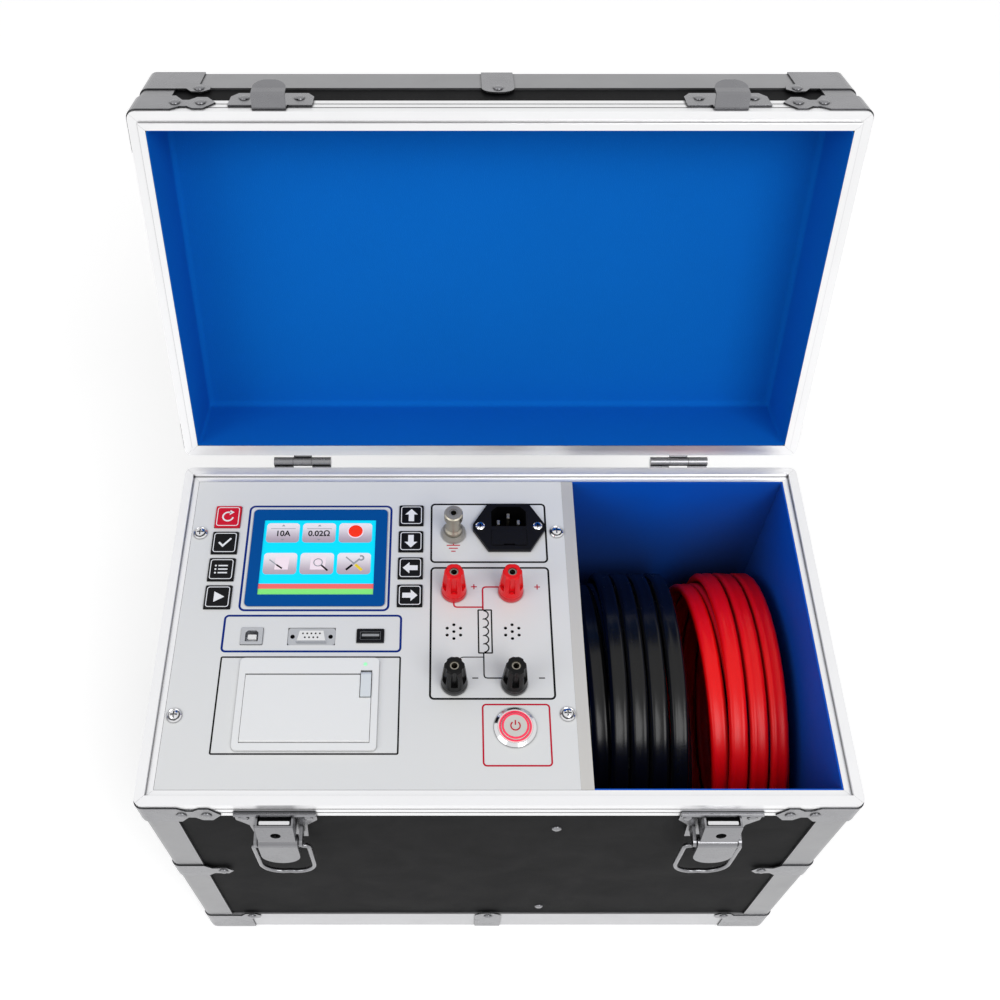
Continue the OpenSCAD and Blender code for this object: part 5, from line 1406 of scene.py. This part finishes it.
@dataclass
class Latches:
    """Recesses and keyholes filled with painted shade, bars and bails of the two latches.

    Places are measured outwards from the rim's face and down from its top; a pair holds a near and a far one.
    """

    places: tuple[tuple[str, float], ...] = (("left", -136.0), ("right", 136.0))
    face_y: float = -125.0
    width: float = 20.0
    recess_out: Point = (1.5, 7.8)
    recess_z: Point = (-17.8, -13.4)
    keyhole_z: float = -23.0
    keyhole_r: float = 3.1
    keyhole_rows: tuple[Point, ...] = ((1.0, 5.6), (1.0, 7.9), (0.85, 8.4))
    bar_out: Point = (5.2, 7.6)
    bar_z: Point = (-14.6, -12.9)
    pivot_out: float = 8.5
    pivot_z: float = -48.5
    wire_r: float = 1.5
    wire_half: float = 17.5
    wire_inner: float = 10.5
    wire_l: float = 54.0
    shoulder: float = 3.4
    bowl: float = 17.0
    dimple: Point = (1.1, 2.6)

    def wire(self, x: float) -> Array:
        """Middle line of a bail: in from a cheek, round a shoulder, down, and round a bowl with a dimple.

        The bowl is half a rounded ellipse, and the dimple lifts its middle by a bell curve of a height and a
        width.

        Args:
            x: Place of the latch.

        Returns:
            Points, with heights from the rim.
        """
        turn = around(np.radians(np.linspace(90.0, 0.0, 8)))
        shoulder = np.array([self.wire_half, 0.0]) + self.shoulder * (turn - 1.0)
        cosine, sine = around(np.radians(np.linspace(0.0, -90.0, 22))).T
        across = self.wire_half * np.sign(cosine) * np.abs(cosine) ** 0.75
        height, spread = self.dimple
        down = self.bowl * (1.0 + sine) - self.wire_l + height * np.exp(-(across / spread) ** 2)
        right = np.concatenate([[[self.wire_inner, 0.0]], shoulder, np.stack([across, down], -1)])
        flat = np.concatenate([right, right[-2::-1] * [-1.0, 1.0]]) + [x, self.pivot_z]
        return np.insert(flat, 1, self.face_y - self.pivot_out, axis=1)

    def bail(self, side: str, x: float) -> None:
        """Builds the bent wire of one bail, a circle carried along its middle line, in place of its solid.

        Args:
            side: Left or right.
            x: Place of the latch.
        """
        line = self.wire(x)
        out = np.array([0.0, 1.0, 0.0])
        across = np.cross(unit(np.gradient(line, axis=0)), out)
        ring = circle((0.0, 0.0), self.wire_r, 16)
        grid = line[:, None] + across[:, None] * ring[:, :1] + out * ring[:, 1:]
        piece = Solid(RIM_Z).surface(grid).make(f"{side}_bail_wire", Finishes.ZINC, f"{side}_latch_bail")
        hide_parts(f"{side}_latch_bail")

    def block(self, x: float, width: float, out: Point, z: Point, corner: tuple[float, int],
              edge: float) -> Solid:
        """A block in a latch's housing, whose corners have a radius and a number of steps."""
        outline = rounded_rect((x, self.face_y - sum(out) / 2), (width, out[1] - out[0]), *corner)
        return Solid(RIM_Z).prism(outline, *z, edge)

    def build(self) -> None:
        """Builds the bail, bar, recess and keyhole of each latch."""
        for side, x in self.places:
            self.bail(side, x)
            bar = self.block(x, self.width - 0.6, self.bar_out, self.bar_z, (0.7, 4), 0.4)
            bar.make(f"{side}_latch_bar", Finishes.CHROME)
            keyhole = []
            for share, out in self.keyhole_rows:
                ring = circle((x, self.keyhole_z), self.keyhole_r * share, 28)
                keyhole.append(np.insert(ring, 1, self.face_y - out, axis=1))
            recess = self.block(x, self.width, self.recess_out, self.recess_z, (0.6, 3), 0.5)
            # The recess and keyhole are dark with painted shade.
            recess.surface(np.stack(keyhole)).make(f"{side}_latch_recess", Finishes.HOLE_SHADE)


# Studio


@dataclass
class Studio:
    """Camera, floor, sky and lamps. A lamp has its place and its side in metres and its power in watts."""

    eye: Triple = (-29.78, -363.07, 954.03)
    tilt: float = 34.33
    lens: float = 41.47
    shift: float = 0.0505
    sky: float = 0.5
    floor_reach: float = 6.0
    floor_glow: float = 0.36
    aim: Triple = (0.0, 0.0, 0.25)
    lamps: tuple[tuple[str, Triple, float, float], ...] = (
        ("key", (0.9, -1.3, 2.2), 1.4, 24.0), ("fill", (-1.4, -0.9, 1.6), 1.2, 9.0))

    def camera(self) -> None:
        """Makes the camera at the photograph's place."""
        data = bpy.data.cameras.new("camera")
        data.lens = self.lens
        data.sensor_width = 36.0
        data.shift_x = self.shift
        data.clip_start = 0.01
        view = put("camera", data)
        view.location = [v * MM for v in self.eye]
        view.rotation_euler = (math.radians(self.tilt), 0.0, 0.0)
        bpy.context.scene.camera = view

    @staticmethod
    def seen(w: Wiring, *kinds: str) -> Socket:
        """1 for rays of these kinds, which see the surface itself, and 0 for the light that it gives.

        Args:
            w: The wiring of the floor or the sky.
            kinds: Names of the light path's outputs, of which the largest counts.

        Returns:
            The 1 or 0.
        """
        path = w.node("ShaderNodeLightPath")
        seen = path.outputs[kinds[0]]
        for kind in kinds[1:]:
            seen = w.math("MAXIMUM", seen, path.outputs[kind])
        return seen

    def floor(self) -> None:
        """Makes the white floor, which keeps the object's shadow."""
        mesh = bpy.data.meshes.new("floor")
        reach = self.floor_reach
        corners = [(-reach, -reach, 0), (reach, -reach, 0), (reach, reach, 0), (-reach, reach, 0)]
        mesh.from_pydata(corners, [], [(0, 1, 2, 3)])
        material = bpy.data.materials.new("studio floor")
        material.use_nodes = True
        w = Wiring(material.node_tree)
        glow = w.math("MULTIPLY", self.seen(w, "Is Camera Ray", "Is Glossy Ray"), self.floor_glow)
        for label, value in (("Base Color", (0.96, 0.96, 0.96)), ("Roughness", 0.9),
                             ("Emission Color", (1.0, 1.0, 1.0)), ("Emission Strength", glow)):
            w.feed(material.node_tree.nodes["Principled BSDF"].inputs[label], value)
        mesh.materials.append(material)
        plane = put("floor", mesh)

    def world(self) -> None:
        """Lights evenly from all round, and shows white where the sky itself is seen."""
        scene = bpy.context.scene
        scene.world = bpy.data.worlds.new("studio")
        scene.world.use_nodes = True
        w = Wiring(scene.world.node_tree)
        background = scene.world.node_tree.nodes["Background"]
        seen = self.seen(w, "Is Camera Ray", "Is Glossy Ray", "Is Transmission Ray")
        strength = w.math("ADD", w.math("MULTIPLY", seen, 1.0 - self.sky), self.sky)
        w.feed(background.inputs["Strength"], strength)
        w.feed(background.inputs["Color"], (1.0, 1.0, 1.0))

    def build(self) -> None:
        """Builds the studio, with square lamps aimed at the middle of the object."""
        self.camera()
        self.floor()
        self.world()
        for name, place, size, power in self.lamps:
            data = bpy.data.lights.new(name, "AREA")
            data.size = size
            data.energy = power
            lamp = put(name, data)
            lamp.location = place
            x, y, z = unit(np.array(self.aim) - np.array(place))
            lamp.rotation_euler = (math.acos(-z), 0.0, math.atan2(y, x) - math.pi / 2.0)
        bpy.context.scene.view_settings.view_transform = "Standard"


def main() -> None:
    """Builds every sub-assembly in order."""
    logging.basicConfig(level=logging.INFO, format="%(name)s: %(message)s")
    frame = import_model()
    Studio().build()
    nodes = frame["nodes"]
    dress_nodes(nodes)
    Lead("black_lead", 69.05, 4.5, Finishes.CABLE_BLACK).build(nodes["black_lead_ends"])
    Lead("red_lead", 149.9, 3.5, Finishes.CABLE_RED).build(nodes["red_lead_ends"])
    for assembly in (LidLining(), PanelPrint(), Keypad(), Screen(), Fittings(), Latches()):
        assembly.build()


if __name__ == "__main__":
    main()
